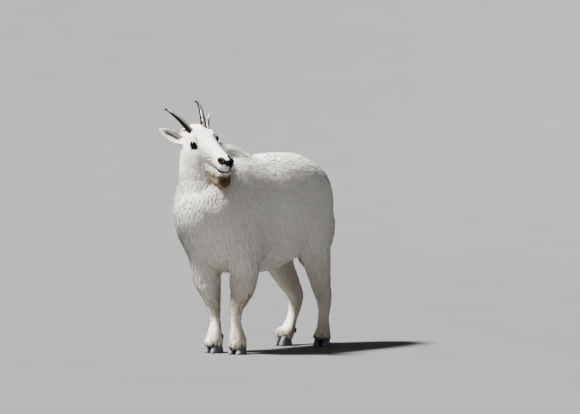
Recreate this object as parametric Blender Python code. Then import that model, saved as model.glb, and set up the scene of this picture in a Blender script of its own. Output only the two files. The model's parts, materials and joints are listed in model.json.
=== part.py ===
"""A mountain goat nanny in her short summer coat, life size and standing still, head turned to her left.

Metres, +Z up. She faces -Y and her left side is +X. The origin lies on the ground, under the middle of
her outline. Every length is taken out to the tips of the coat.

The flesh is lofted in overlapping masses, made one skin by a voxel remesh, and then parted into head,
neck, trunk, tail and legs. Eyes, horns, ears, hooves and dewclaws are pieces of their own, set into
sockets that are cut a little wider than they are.
"""

import math

import bmesh
import bpy
import numpy as np
from mathutils import Matrix, Vector

# Driving sizes
GAP = 0.0005
FOOTPRINT_CENTRE = (0.016, -0.026)
WELD = 0.00005
FLESH_VOXEL = 0.0065
FLESH_TRIANGLES = 2600
DECIMATE_BIAS = 0.04
SIDES = {"left": 1.0, "right": -1.0}

# Where the head sits and how it is turned: the point between the eyes, then three angles
HEAD_PLACE = (0.030, -0.459, 0.891)
HEAD_TURN_LEFT = 71.8
HEAD_NOSE_DOWN = 25.8
HEAD_LEAN = 16.2

# Trunk: y, height of the widest line, half width, rise to the back, drop to the belly
TRUNK = [
    (-0.500, 0.600, 0.080, 0.085, 0.085),
    (-0.458, 0.605, 0.138, 0.145, 0.140),
    (-0.385, 0.610, 0.164, 0.200, 0.205),
    (-0.280, 0.610, 0.168, 0.245, 0.248),
    (-0.180, 0.605, 0.172, 0.240, 0.260),
    (-0.080, 0.600, 0.177, 0.238, 0.262),
    (0.030, 0.610, 0.179, 0.254, 0.258),
    (0.130, 0.630, 0.173, 0.246, 0.240),
    (0.230, 0.650, 0.160, 0.226, 0.205),
    (0.320, 0.655, 0.145, 0.195, 0.175),
    (0.395, 0.650, 0.124, 0.160, 0.160),
    (0.446, 0.650, 0.084, 0.100, 0.112),
]
# The narrow crest over the withers: y, height of the middle, half width, half height
WITHERS = [
    (-0.400, 0.780, 0.060, 0.085),
    (-0.330, 0.815, 0.066, 0.087),
    (-0.250, 0.812, 0.068, 0.083),
    (-0.160, 0.790, 0.070, 0.078),
    (-0.060, 0.765, 0.070, 0.072),
]

# Neck: x, y, z of the middle, half side, half to the nape, half to the throat
NECK = [
    (0.000, -0.210, 0.590, 0.120, 0.110, 0.160),
    (-0.006, -0.278, 0.660, 0.142, 0.135, 0.192),
    (-0.022, -0.340, 0.728, 0.146, 0.130, 0.196),
    (-0.023, -0.388, 0.800, 0.111, 0.126, 0.155),
    (-0.021, -0.425, 0.860, 0.083, 0.104, 0.114),
    (-0.030, -0.437, 0.905, 0.066, 0.074, 0.080),
]
NECK_NAPE_LOW = (0.0, 0.80, 0.60)
NECK_NAPE_HIGH = (-0.55, 0.60, 0.58)

# Tail: the same columns as the neck
TAIL = [
    (0.0, 0.400, 0.778, 0.024, 0.016, 0.016),
    (0.0, 0.440, 0.765, 0.032, 0.019, 0.019),
    (0.0, 0.465, 0.722, 0.029, 0.017, 0.017),
    (0.0, 0.472, 0.672, 0.020, 0.012, 0.012),
    (0.0, 0.470, 0.645, 0.010, 0.006, 0.006),
]

# Half side, half to the front and half to the back of a leg at each of its joints
FORE_SIZES = {
    "blade": (0.036, 0.060, 0.060),
    "shoulder": (0.052, 0.110, 0.100),
    "elbow": (0.060, 0.082, 0.082),
    "forearm": (0.059, 0.056, 0.067),
    "above_knee": (0.041, 0.043, 0.052),
    "knee": (0.031, 0.034, 0.036),
    "cannon": (0.0215, 0.024, 0.026),
    "fetlock": (0.034, 0.035, 0.037),
    "coronet": (0.0425, 0.049, 0.044),
}
HIND_SIZES = {
    "hip": (0.055, 0.120, 0.120),
    "thigh": (0.064, 0.130, 0.142),
    "stifle": (0.060, 0.105, 0.112),
    "gaskin": (0.046, 0.074, 0.076),
    "above_hock": (0.036, 0.052, 0.060),
    "hock": (0.031, 0.037, 0.050),
    "cannon": (0.0235, 0.027, 0.031),
    "fetlock": (0.032, 0.033, 0.036),
    "coronet": (0.0425, 0.049, 0.044),
}
# The joints' places, x counted outwards from the mid-plane
LEG_PLACES = {
    ("fore", "left"): {
        "blade": (0.075, -0.235, 0.780),
        "shoulder": (0.106, -0.320, 0.600),
        "elbow": (0.098, -0.262, 0.435),
        "forearm": (0.085, -0.258, 0.315),
        "above_knee": (0.080, -0.268, 0.255),
        "knee": (0.073, -0.283, 0.205),
        "cannon": (0.068, -0.282, 0.140),
        "fetlock": (0.066, -0.272, 0.078),
        "coronet": (0.066, -0.268, 0.042),
    },
    ("fore", "right"): {
        "blade": (0.080, -0.235, 0.780),
        "shoulder": (0.118, -0.340, 0.600),
        "elbow": (0.106, -0.282, 0.435),
        "forearm": (0.095, -0.268, 0.315),
        "above_knee": (0.086, -0.256, 0.255),
        "knee": (0.078, -0.246, 0.205),
        "cannon": (0.073, -0.238, 0.140),
        "fetlock": (0.070, -0.249, 0.078),
        "coronet": (0.068, -0.256, 0.042),
    },
    ("hind", "left"): {
        "hip": (0.080, 0.265, 0.720),
        "thigh": (0.104, 0.265, 0.570),
        "stifle": (0.113, 0.255, 0.460),
        "gaskin": (0.106, 0.299, 0.353),
        "above_hock": (0.099, 0.330, 0.270),
        "hock": (0.091, 0.364, 0.212),
        "cannon": (0.086, 0.371, 0.130),
        "fetlock": (0.085, 0.368, 0.072),
        "coronet": (0.085, 0.360, 0.042),
    },
    ("hind", "right"): {
        "hip": (0.080, 0.265, 0.720),
        "thigh": (0.104, 0.260, 0.570),
        "stifle": (0.112, 0.265, 0.460),
        "gaskin": (0.108, 0.325, 0.350),
        "above_hock": (0.100, 0.382, 0.270),
        "hock": (0.091, 0.405, 0.215),
        "cannon": (0.086, 0.372, 0.130),
        "fetlock": (0.083, 0.332, 0.072),
        "coronet": (0.080, 0.288, 0.042),
    },
}

# Head, in its own frame: x to the nose, y to its left, z to the crown, from the point between the eyes.
# Skull and upper muzzle: x, middle height, half width, rise, drop
SKULL = [
    (-0.118, -0.018, 0.046, 0.040, 0.062),
    (-0.085, -0.012, 0.059, 0.054, 0.078),
    (-0.050, -0.006, 0.061, 0.061, 0.080),
    (-0.005, -0.004, 0.054, 0.052, 0.072),
    (0.035, -0.010, 0.0465, 0.048, 0.060),
    (0.075, -0.014, 0.040, 0.045, 0.050),
    (0.115, -0.018, 0.034, 0.042, 0.042),
    (0.152, -0.020, 0.033, 0.037, 0.036),
    (0.182, -0.020, 0.033, 0.031, 0.030),
    (0.201, -0.021, 0.027, 0.021, 0.021),
]
# Lower jaw: x, middle height, half width, half height
JAW = [
    (-0.060, -0.074, 0.048, 0.042),
    (-0.015, -0.080, 0.045, 0.038),
    (0.040, -0.076, 0.042, 0.035),
    (0.090, -0.071, 0.036, 0.031),
    (0.135, -0.069, 0.032, 0.028),
    (0.172, -0.064, 0.027, 0.022),
    (0.190, -0.058, 0.018, 0.013),
]
# Short beard, a keel under the jaw: the same columns
BEARD = [
    (0.015, -0.098, 0.026, 0.032),
    (0.060, -0.106, 0.031, 0.044),
    (0.100, -0.106, 0.031, 0.045),
    (0.140, -0.098, 0.028, 0.039),
    (0.175, -0.083, 0.021, 0.028),
    (0.193, -0.072, 0.013, 0.015),
]
# Round masses of the head: middle and radii, on both sides
HEAD_MASSES = [
    ((-0.012, 0.045, 0.012), (0.032, 0.0155, 0.027)),
    ((-0.014, 0.042, 0.029), (0.028, 0.017, 0.015)),
    ((0.174, 0.018, -0.024), (0.026, 0.018, 0.021)),
    ((0.184, 0.017, -0.006), (0.017, 0.015, 0.015)),
    ((-0.030, 0.036, -0.050), (0.044, 0.021, 0.044)),
]

# Where the head ends and the neck begins: height, half width, back edge, front edge
HEAD_BOUNDS = [
    (-0.163, 0.026, 0.030, 0.195),
    (-0.140, 0.038, 0.000, 0.220),
    (-0.112, 0.056, -0.050, 0.235),
    (-0.060, 0.090, -0.088, 0.250),
    (0.000, 0.115, -0.112, 0.260),
    (0.090, 0.130, -0.150, 0.260),
]

EYE_RADIUS = 0.0155
EYE_PLACE = (0.005, 0.0515, 0.008)

# Horn: x, y, z of its middle line from inside the skull to the tip, and its radius
HORN = [
    (-0.040, 0.029, 0.026, 0.0138),
    (-0.060, 0.035, 0.042, 0.0130),
    (-0.109, 0.0535, 0.072, 0.0092),
    (-0.156, 0.0690, 0.090, 0.0062),
    (-0.186, 0.0740, 0.0940, 0.0036),
    (-0.203, 0.0740, 0.0900, 0.0012),
]

# Ear: root, tip of each, the way the hollow of each faces, half width and curl at even steps, wall
EAR_ROOT = (-0.066, 0.052, -0.014)
EAR_TIPS = {1.0: (-0.1700, 0.1285, 0.0330), -1.0: (-0.1620, 0.1220, 0.0240)}
EAR_FACES = {1.0: (0.500, 0.840, 0.100), -1.0: (0.647, 0.555, 0.522)}
EAR_HALF_WIDTHS = (0.0120, 0.0180, 0.0225, 0.0235, 0.0205, 0.0140, 0.0050)
EAR_CUP = (1.90, 1.75, 1.45, 1.15, 0.95, 0.80, 0.70)
EAR_WALL = 0.0050

# Hooves and dewclaws
CLAW_HALF_WIDTH = 0.0168
CLAW_HALF_LENGTH = 0.0405
CLAW_HEIGHT_TOE = 0.046
CLAW_HEIGHT_HEEL = 0.034
CLEFT_HALF = 0.0016
TOE_SPREAD = 9.0
TOE_OUT = {"fore": 6.0, "hind": 13.0}
DEWCLAW_RADII = (0.0085, 0.0095, 0.0140)

COAT_COLOUR = (0.80, 0.77, 0.71, 1.0)
HORN_COLOUR = (0.030, 0.026, 0.024, 1.0)
HOOF_COLOUR = (0.070, 0.070, 0.075, 1.0)
EYE_COLOUR = (0.012, 0.008, 0.006, 1.0)


def material(name, colour, roughness):
    made = bpy.data.materials.new(name)
    made.use_nodes = True
    shader = made.node_tree.nodes["Principled BSDF"]
    shader.inputs["Base Color"].default_value = colour
    shader.inputs["Roughness"].default_value = roughness
    return made


def head_matrix():
    """From the head's own frame to the goat's: forward is the nose, then the head's left, then its crown."""
    yaw, pitch, lean = (math.radians(a) for a in (HEAD_TURN_LEFT, HEAD_NOSE_DOWN, HEAD_LEAN))
    nose = Vector((math.sin(yaw) * math.cos(pitch), -math.cos(yaw) * math.cos(pitch), -math.sin(pitch)))
    level_left = Vector((math.cos(yaw), math.sin(yaw), 0.0))
    level_up = nose.cross(level_left)
    left = level_left * math.cos(lean) + level_up * math.sin(lean)
    up = nose.cross(left)
    turn = Matrix((nose, left, up)).transposed()
    return Matrix.Translation(Vector(HEAD_PLACE)) @ turn.to_4x4()


def spline(rows, count):
    """A smooth curve through every row of numbers, read at even steps."""
    rows = np.array(rows, float)
    t = np.linspace(0, len(rows) - 1, count)
    i = np.clip(t.astype(int), 0, len(rows) - 2)
    f = (t - i)[:, None]
    before, here, after, beyond = (rows[np.clip(i + k, 0, len(rows) - 1)] for k in (-1, 0, 1, 2))
    bend = 2 * before - 5 * here + 4 * after - beyond
    twist = 3 * here - before - 3 * after + beyond
    return 0.5 * (2 * here + (after - before) * f + bend * f**2 + twist * f**3)


def unit(v):
    return v / np.linalg.norm(v, axis=-1, keepdims=True)


def loft(stations, front_hint, rings, sides, power=2.0, dome=0.5, end_hint=None):
    """A closed tube through stations of x, y, z, half side, half to the front hint, half away from it,
    with round ends. Returns its bmesh."""
    rows = spline(stations, rings)
    centre = rows[:, :3]
    size = np.maximum(rows[:, 3:], 0.0008)
    along = unit(np.gradient(centre, axis=0))
    share = np.linspace(0, 1, rings)[:, None]
    last_hint = front_hint if end_hint is None else end_hint
    hint = np.array(front_hint) * (1 - share) + np.array(last_hint) * share
    front = unit(hint - (hint * along).sum(1, keepdims=True) * along)
    side = np.cross(along, front)
    cap = [(math.cos(a), math.sin(a)) for a in (math.radians(x) for x in (72, 50, 26))]
    loops = [(0, shrink, -reach) for shrink, reach in cap]
    loops += [(i, 1.0, 0.0) for i in range(rings)]
    loops += [(rings - 1, shrink, reach) for shrink, reach in reversed(cap)]
    turn = np.linspace(0, 2 * math.pi, sides, endpoint=False)
    c, s = np.cos(turn), np.sin(turn)
    c, s = (np.sign(v) * np.abs(v) ** (2 / power) for v in (c, s))
    bm = bmesh.new()
    grid = []
    for i, shrink, reach in loops:
        half_side, half_front, half_back = size[i] * shrink
        depth = dome * size[i].min() * reach
        across = np.where(s > 0, half_front, half_back) * s
        points = centre[i] + along[i] * depth + np.outer(c * half_side, side[i]) + np.outer(across, front[i])
        grid.append([bm.verts.new(p) for p in points])
    for a, b in zip(grid, grid[1:]):
        for k in range(sides):
            bm.faces.new((a[k], a[(k + 1) % sides], b[(k + 1) % sides], b[k]))
    for row, i, sign in ((grid[0], 0, -1), (grid[-1], rings - 1, 1)):
        pole = bm.verts.new(centre[i] + along[i] * sign * dome * size[i].min())
        for k in range(sides):
            bm.faces.new((row[k], row[(k + 1) % sides], pole))
    bmesh.ops.recalc_face_normals(bm, faces=bm.faces)
    return bm


def ball(centre, radii, segments=20):
    bm = bmesh.new()
    bmesh.ops.create_uvsphere(bm, u_segments=segments, v_segments=segments // 2, radius=1.0)
    bm.transform(Matrix.Translation(Vector(centre)) @ Matrix.Diagonal((*radii, 1.0)))
    return bm


def placed(bm, matrix=None):
    """bm turned by matrix and moved so that the origin is under the middle of the footprint. Its faces are
    split the same way each time, so that a socket and the piece in it stay parallel."""
    bmesh.ops.triangulate(bm, faces=bm.faces, quad_method="FIXED")
    if matrix is not None:
        bm.transform(matrix)
    bm.transform(Matrix.Translation((-FOOTPRINT_CENTRE[0], -FOOTPRINT_CENTRE[1], 0.0)))
    if matrix is not None and matrix.determinant() < 0:
        bmesh.ops.reverse_faces(bm, faces=bm.faces)
    return bm


def to_object(name, bms, look=None):
    mesh = bpy.data.meshes.new(name)
    whole = bmesh.new()
    for bm in bms:
        piece = bpy.data.meshes.new("piece")
        bm.to_mesh(piece)
        bm.free()
        whole.from_mesh(piece)
        bpy.data.meshes.remove(piece)
    whole.to_mesh(mesh)
    whole.free()
    made = bpy.data.objects.new(name, mesh)
    bpy.context.scene.collection.objects.link(made)
    if look is not None:
        mesh.materials.append(look)
    return made


def settle(obj):
    """Makes the object's modifiers part of its mesh."""
    graph = bpy.context.evaluated_depsgraph_get()
    mesh = bpy.data.meshes.new_from_object(obj.evaluated_get(graph))
    obj.modifiers.clear()
    obj.data = mesh
    return obj


def boolean(obj, tool, operation):
    step = obj.modifiers.new(operation.lower(), "BOOLEAN")
    step.operation = operation
    step.object = tool
    step.solver = "EXACT"
    settle(obj)
    bm = bmesh.new()
    bm.from_mesh(obj.data)
    bmesh.ops.remove_doubles(bm, verts=bm.verts, dist=WELD)
    bmesh.ops.dissolve_degenerate(bm, edges=bm.edges, dist=WELD)
    bmesh.ops.triangulate(bm, faces=bm.faces)
    bm.to_mesh(obj.data)
    bm.free()
    return obj


def keep_largest(obj):
    """Drops the crumbs that a cut may leave beside the piece itself."""
    bm = bmesh.new()
    bm.from_mesh(obj.data)
    left, islands = set(bm.verts), []
    while left:
        island, front = set(), [left.pop()]
        while front:
            v = front.pop()
            island.add(v)
            near = {e.other_vert(v) for e in v.link_edges} & left
            left -= near
            front += near
        islands.append(island)
    islands.sort(key=len)
    crumbs = [v for island in islands[:-1] for v in island]
    bmesh.ops.delete(bm, geom=crumbs, context="VERTS")
    bm.to_mesh(obj.data)
    bm.free()
    return obj


def drop(obj):
    bpy.data.objects.remove(obj)


def mirror_y():
    return Matrix.Diagonal((1.0, -1.0, 1.0, 1.0))


def side_matrix(side):
    """The head's matrix for a piece on its left, mirrored for one on its right."""
    return head_matrix() if side > 0 else head_matrix() @ mirror_y()


def trunk_form():
    rows = [(0.0, y, z, half, rise, sink) for y, z, half, rise, sink in TRUNK]
    return placed(loft(rows, (0, 0, 1), rings=48, sides=48, power=2.15, dome=0.35))


def neck_form():
    return placed(loft(NECK, NECK_NAPE_LOW, rings=24, sides=40, end_hint=NECK_NAPE_HIGH))


def withers_form():
    rows = [(0.0, y, z, half, tall, tall) for y, z, half, tall in WITHERS]
    return placed(loft(rows, (0, 0, 1), rings=20, sides=28, dome=0.6))


def tail_form(grow=0.0):
    rows = [(x, y, z, half + grow, back + grow, front + grow) for x, y, z, half, back, front in TAIL]
    return placed(loft(rows, (0, 1, 0.3), rings=7, sides=9, dome=0.6))


def leg_form(pair, side_name):
    sizes = FORE_SIZES if pair == "fore" else HIND_SIZES
    joints = LEG_PLACES[pair, side_name]
    sign = SIDES[side_name]
    rows = [(sign * joints[k][0], joints[k][1], joints[k][2], *sizes[k]) for k in joints]
    return placed(loft(rows, (0, -1, 0), rings=60, sides=28, power=2.1, dome=0.35))


def head_forms():
    skull = [(x, 0.0, z, half, rise, sink) for x, z, half, rise, sink in SKULL]
    jaw = [(x, 0.0, z, half, tall, tall) for x, z, half, tall in JAW]
    beard = [(x, 0.0, z, half, tall, tall) for x, z, half, tall in BEARD]
    made = [
        loft(skull, (0, 0, 1), rings=40, sides=36, power=2.2),
        loft(jaw, (0, 0, 1), rings=24, sides=28, power=2.2),
        loft(beard, (0, 0, 1), rings=20, sides=24),
    ]
    turned = [placed(bm, head_matrix()) for bm in made]
    for side in SIDES.values():
        for centre, radii in HEAD_MASSES:
            turned.append(placed(ball(centre, radii), side_matrix(side)))
    return turned


def eye_form(side, grow=0.0):
    return placed(ball(EYE_PLACE, (EYE_RADIUS + grow,) * 3, segments=14), side_matrix(side))


def horn_form(side, grow=0.0):
    rows = [(x, y, z, r + grow, (r + grow) * 1.08, (r + grow) * 1.08) for x, y, z, r in HORN]
    return placed(loft(rows, (0.4, 0, 1), rings=11, sides=8, dome=0.8), side_matrix(side))


def ear_form(side, grow=0.0):
    """A leaf rolled at its root and open towards the tip: a crescent section swept along the ear."""
    root, tip = Vector(EAR_ROOT), Vector(EAR_TIPS[side])
    along = (tip - root).normalized()
    faces = Vector(EAR_FACES[side])
    faces = (faces - faces.dot(along) * along).normalized()
    across = along.cross(faces)
    steps, arc = 8, 6
    length = (tip - root).length
    table = spline(np.stack([EAR_HALF_WIDTHS, EAR_CUP], axis=1), steps)
    bm = bmesh.new()
    grid = []
    for i, (half, cup) in enumerate(table):
        share = i / (steps - 1)
        radius = half / math.sin(min(cup, math.pi / 2))
        depth = faces * (-0.5 * radius * (1 - math.cos(cup)) * math.sin(math.pi * share))
        middle = root + along * (length * share + grow * (2 * share - 1)) + depth
        wall = EAR_WALL * (1 - 0.35 * share) / 2
        sweep = cup + grow / radius
        ring = []
        for surface in (1, -1):
            for k in range(arc):
                a = sweep * (2 * k / (arc - 1) - 1) * surface
                rim = 1 - 0.55 * abs(2 * k / (arc - 1) - 1) ** 4
                r = radius + surface * (wall * rim + grow)
                ring.append(middle + across * (r * math.sin(a)) + faces * (radius - r * math.cos(a)))
        grid.append([bm.verts.new(p) for p in ring])
    count = len(grid[0])
    for a, b in zip(grid, grid[1:]):
        for k in range(count):
            bm.faces.new((a[k], a[(k + 1) % count], b[(k + 1) % count], b[k]))
    for row in (grid[0], grid[-1]):
        for k in range(arc - 1):
            bm.faces.new((row[k], row[k + 1], row[count - 2 - k], row[count - 1 - k]))
    bmesh.ops.recalc_face_normals(bm, faces=bm.faces)
    return placed(bm, side_matrix(side))


def foot_matrix(pair, side_name, joint):
    """From a foot's own frame, toes to -Y, to the ground under one of the leg's joints."""
    x, y, _ = LEG_PLACES[pair, side_name][joint]
    turn = Matrix.Rotation(math.radians(SIDES[side_name] * TOE_OUT[pair]), 4, "Z")
    return Matrix.Translation(Vector((SIDES[side_name] * x, y, 0.0))) @ turn


def claw_form(pair, side_name, outer, grow=0.0):
    """One of a foot's two toes: a flat sole, a rounded toe and a top that slopes down to the heel."""
    count = 14
    levels = [(0.0, 0.97, 0.0), (0.12, 1.0, 0.0), (1.0, 0.80, 0.011)]
    bm = bmesh.new()
    grid = []
    for level, shrink, back in levels:
        ring = []
        for k in range(count):
            a = 2 * math.pi * k / count
            c, s = (math.copysign(abs(v) ** (2 / 2.7), v) for v in (math.cos(a), math.sin(a)))
            x = CLEFT_HALF + CLAW_HALF_WIDTH + (CLAW_HALF_WIDTH * shrink + grow) * c
            y = (CLAW_HALF_LENGTH * shrink + grow) * s + back
            toe_share = 0.5 - 0.5 * s
            tall = CLAW_HEIGHT_HEEL + (CLAW_HEIGHT_TOE - CLAW_HEIGHT_HEEL) * toe_share
            z = level * tall + grow * (2 * level - 1)
            ring.append(bm.verts.new((x, y, z)))
        grid.append(ring)
    for a, b in zip(grid, grid[1:]):
        for k in range(count):
            bm.faces.new((a[k], a[(k + 1) % count], b[(k + 1) % count], b[k]))
    bm.faces.new(grid[0])
    bm.faces.new(grid[-1])
    bmesh.ops.recalc_face_normals(bm, faces=bm.faces)
    way = SIDES[side_name] * outer
    spread = Matrix.Rotation(math.radians(TOE_SPREAD / 2), 4, "Z")
    mirror = Matrix.Diagonal((way, 1.0, 1.0, 1.0))
    return placed(bm, foot_matrix(pair, side_name, "coronet") @ mirror @ spread)


def dewclaw_form(pair, side_name, outer, grow=0.0):
    sizes = FORE_SIZES if pair == "fore" else HIND_SIZES
    radii = [r + grow for r in DEWCLAW_RADII]
    tilt = Matrix.Rotation(math.radians(28), 4, "X")
    heel = sizes["fetlock"][2]
    place = Matrix.Translation(Vector((SIDES[side_name] * outer * 0.015, heel * 0.86, 0.068)))
    bm = ball((0, 0, 0), radii, segments=8)
    return placed(bm, foot_matrix(pair, side_name, "fetlock") @ place @ tilt)


def whole_flesh():
    """All the flesh as one closed skin, out to the tips of the coat."""
    forms = [trunk_form(), withers_form(), neck_form(), *head_forms()]
    forms += [leg_form(pair, side_name) for pair, side_name in LEG_PLACES]
    flesh = to_object("flesh", forms)
    skin = flesh.modifiers.new("one skin", "REMESH")
    skin.mode = "VOXEL"
    skin.voxel_size = FLESH_VOXEL
    settle(flesh)
    # The coat rounds off the creases between the masses of the body, not those of the face and feet
    group = flesh.vertex_groups.new(name="rounded")
    head_at = head_matrix() @ Vector((0.04, 0.0, -0.03))
    for v in flesh.data.vertices:
        from_head = (v.co - head_at).length
        weight = min(max((v.co.z - 0.25) / 0.2, 0.0), 1.0) * min(max((from_head - 0.13) / 0.08, 0.0), 1.0)
        group.add([v.index], 0.15 + 0.85 * weight, "REPLACE")
    rounded = flesh.modifiers.new("rounded creases", "SMOOTH")
    rounded.factor = 0.6
    rounded.iterations = 26
    rounded.vertex_group = "rounded"
    settle(flesh)
    fewer = flesh.modifiers.new("fewer faces", "DECIMATE")
    fewer.ratio = FLESH_TRIANGLES / (2 * len(flesh.data.polygons))
    fewer.use_collapse_triangulate = True
    fewer.vertex_group = "rounded"
    fewer.vertex_group_factor = DECIMATE_BIAS
    return settle(flesh)


def block(name, centre, turn, half):
    """A closed box, as a cutter: its middle, how it is turned and its half sizes."""
    bm = bmesh.new()
    bmesh.ops.create_cube(bm, size=2.0)
    bm.transform(Matrix.Translation(Vector(centre)) @ turn @ Matrix.Diagonal((*half, 1.0)))
    return to_object(name, [placed(bm)])


def facing(way):
    """A turn that carries +Z to this way."""
    return Vector(way).to_track_quat("Z", "Y").to_matrix().to_4x4()


def head_cutter(grow):
    """A box with soft sides round the head, that ends behind the poll, the jaw and the beard."""
    middle = HEAD_BOUNDS[0][2] + 0.06
    rows = []
    for z, half, back, front in HEAD_BOUNDS:
        rows.append((middle, 0.0, z, half + grow, front - middle + grow, middle - back + grow))
    return to_object("head cutter", [placed(loft(rows, (1, 0, 0), rings=8, sides=12, power=3.0), head_matrix())])


def neck_cutter(grow):
    """Everything above a slope from the withers to the front of the chest."""
    way = Vector((0.0, -0.66, 0.75)).normalized()
    on_plane = Vector((0.0, -0.378, 0.755))
    return block("neck cutter", on_plane + way * (0.25 - grow), facing(way), (0.24, 0.24, 0.25))


def leg_cutter(pair, side_name, grow):
    """A tall egg round the leg and its shoulder or thigh, with its inner side short of the mid-plane."""
    sign = SIDES[side_name]
    y, top, reach = (-0.290, 0.640, 0.150) if pair == "fore" else (0.305, 0.690, 0.172)
    # height, inner side, outer side and share of the full reach to the front and back
    edges = [
        (-0.05, 0.006, 0.26, 1.0),
        (0.20, 0.006, 0.26, 1.0),
        (0.37, 0.006, 0.26, 1.0),
        (0.45, 0.030, 0.26, 1.0),
        (top - 0.09, 0.055, 0.26, 0.84),
        (top, 0.105, 0.26, 0.44),
    ]
    rows = []
    for z, inner, outer, share in edges:
        x, half = sign * (inner + outer) / 2, (outer - inner) / 2
        rows.append((x, y, z, half + grow, reach * share + grow, reach * share + grow))
    return to_object("leg cutter", [placed(loft(rows, (0, -1, 0), rings=8, sides=12, power=2.6, dome=0.4))])


def part_off(body, name, cutter_at):
    """Splits the node called name off body: what lies inside the cutter, a gap away from what stays."""
    piece = body.copy()
    piece.data = body.data.copy()
    piece.name = name
    piece.data.name = name
    bpy.context.scene.collection.objects.link(piece)
    inside, wider = cutter_at(0.0), cutter_at(GAP)
    keep_largest(boolean(piece, inside, "INTERSECT"))
    boolean(body, wider, "DIFFERENCE")
    drop(inside)
    drop(wider)
    return piece


def build():
    for obj in list(bpy.data.objects):
        bpy.data.objects.remove(obj)
    coat = material("coat", COAT_COLOUR, 0.85)
    horn = material("horn", HORN_COLOUR, 0.35)
    hoof = material("hoof", HOOF_COLOUR, 0.55)
    eye = material("eye", EYE_COLOUR, 0.08)

    body = whole_flesh()
    body.data.materials.append(coat)
    feet = [(pair, side_name, outer) for pair, side_name in LEG_PLACES for outer in (1, -1)]
    sockets = [tail_form(GAP)]
    for side in SIDES.values():
        sockets += [eye_form(side, GAP), horn_form(side, GAP), ear_form(side, GAP)]
    for foot in feet:
        sockets += [claw_form(*foot, grow=GAP), dewclaw_form(*foot, grow=GAP)]
    for bm in sockets:
        socket = to_object("socket", [bm])
        boolean(body, socket, "DIFFERENCE")
        drop(socket)

    part_off(body, "head", head_cutter)
    part_off(body, "neck", neck_cutter)
    for pair, side_name in LEG_PLACES:
        part_off(body, f"{pair}leg_{side_name}", lambda grow, p=pair, s=side_name: leg_cutter(p, s, grow))
    keep_largest(body)
    body.name = "trunk"
    body.data.name = "trunk"

    to_object("tail", [tail_form()], coat)
    for side_name, side in SIDES.items():
        to_object(f"eye_{side_name}", [eye_form(side)], eye)
        to_object(f"horn_{side_name}", [horn_form(side)], horn)
        to_object(f"ear_{side_name}", [ear_form(side)], coat)
    for pair, side_name, outer in feet:
        where = f"{pair}_{side_name}_{'outer' if outer > 0 else 'inner'}"
        to_object(f"hoof_{where}", [claw_form(pair, side_name, outer)], hoof)
        to_object(f"dewclaw_{where}", [dewclaw_form(pair, side_name, outer)], hoof)

    for obj in bpy.data.objects:
        obj.data.shade_smooth()
        obj.data.set_sharp_from_angle(angle=math.radians(50))


build()
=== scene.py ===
# %% [markdown]
# # A mountain goat in her short summer coat
# The model stands as a museum mount would: life size, on four feet, head turned to her left. The solids
# come from the frame and are never touched. Around them this lesson grows one skin, sculpts the face on
# it, combs a chart of the coat over it and then grows the wool as thousands of solid locks.

# %% Load the frame
import json
import math

import bmesh
import bpy
import numpy as np
from mathutils import Matrix, Vector

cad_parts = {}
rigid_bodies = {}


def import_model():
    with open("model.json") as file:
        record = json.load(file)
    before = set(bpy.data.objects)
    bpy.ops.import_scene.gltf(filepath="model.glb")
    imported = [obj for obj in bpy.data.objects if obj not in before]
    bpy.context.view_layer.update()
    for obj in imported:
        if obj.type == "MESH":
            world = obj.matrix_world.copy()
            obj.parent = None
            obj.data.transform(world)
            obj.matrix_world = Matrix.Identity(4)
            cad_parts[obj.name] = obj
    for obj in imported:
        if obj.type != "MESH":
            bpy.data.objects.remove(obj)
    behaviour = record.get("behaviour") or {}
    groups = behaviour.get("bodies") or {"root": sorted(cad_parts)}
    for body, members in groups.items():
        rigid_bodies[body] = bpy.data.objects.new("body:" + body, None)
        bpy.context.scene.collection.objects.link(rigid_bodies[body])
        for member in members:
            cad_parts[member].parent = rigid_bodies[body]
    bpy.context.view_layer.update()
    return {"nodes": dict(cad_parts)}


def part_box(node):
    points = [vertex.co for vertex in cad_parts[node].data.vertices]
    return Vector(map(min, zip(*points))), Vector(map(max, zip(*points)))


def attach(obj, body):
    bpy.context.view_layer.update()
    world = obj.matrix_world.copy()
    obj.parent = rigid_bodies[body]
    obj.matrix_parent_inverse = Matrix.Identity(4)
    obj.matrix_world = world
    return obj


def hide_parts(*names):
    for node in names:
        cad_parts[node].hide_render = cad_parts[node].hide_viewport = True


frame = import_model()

# %% [markdown]
# ## Camera, floor and light
# The photograph was taken from a little above her knees, eight metres off, with a long lens. A long lens
# keeps the hooves and the rump at nearly one scale. Other ways to place a camera are by eye or by fitting
# it to marks; this one was fitted to the hooves, the eyes and the horn tips.

# %% Camera
CAMERA_AT = (4.5614, -6.5113, 0.5581)
CAMERA_AIM = (0.0780, 0.1140, 0.6274)
CAMERA_LENS = 112.85

camera = bpy.data.objects.new("camera", bpy.data.cameras.new("camera"))
camera.data.lens = CAMERA_LENS
camera.data.sensor_width = 36.0
camera.location = CAMERA_AT
camera.rotation_mode = "QUATERNION"
camera.rotation_quaternion = (Vector(CAMERA_AIM) - Vector(CAMERA_AT)).to_track_quat("-Z", "Y")
camera.data.clip_end = 60.0
bpy.context.scene.collection.objects.link(camera)
bpy.context.scene.camera = camera
print("camera at", CAMERA_AT, "lens", CAMERA_LENS)

# %% [markdown]
# White wool is judged by its shadows, so the studio stays plain: a pale floor that sweeps up to a gentle
# slope all round, one even light from high above the camera's left, where the sun stood, and a weak fill. The
# light's disc is some sixteen times as wide as the sun's, so that its shadows have soft edges. The film
# curve keeps shape in wool that a straight curve would burn out, as the photograph's own curve does.

# %% Floor and lamps
FLOOR_FLAT = 13.0
SWEEP = 24.0
SWEEP_SLOPE = math.radians(28)
SLOPE_REACH = 9.0


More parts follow.
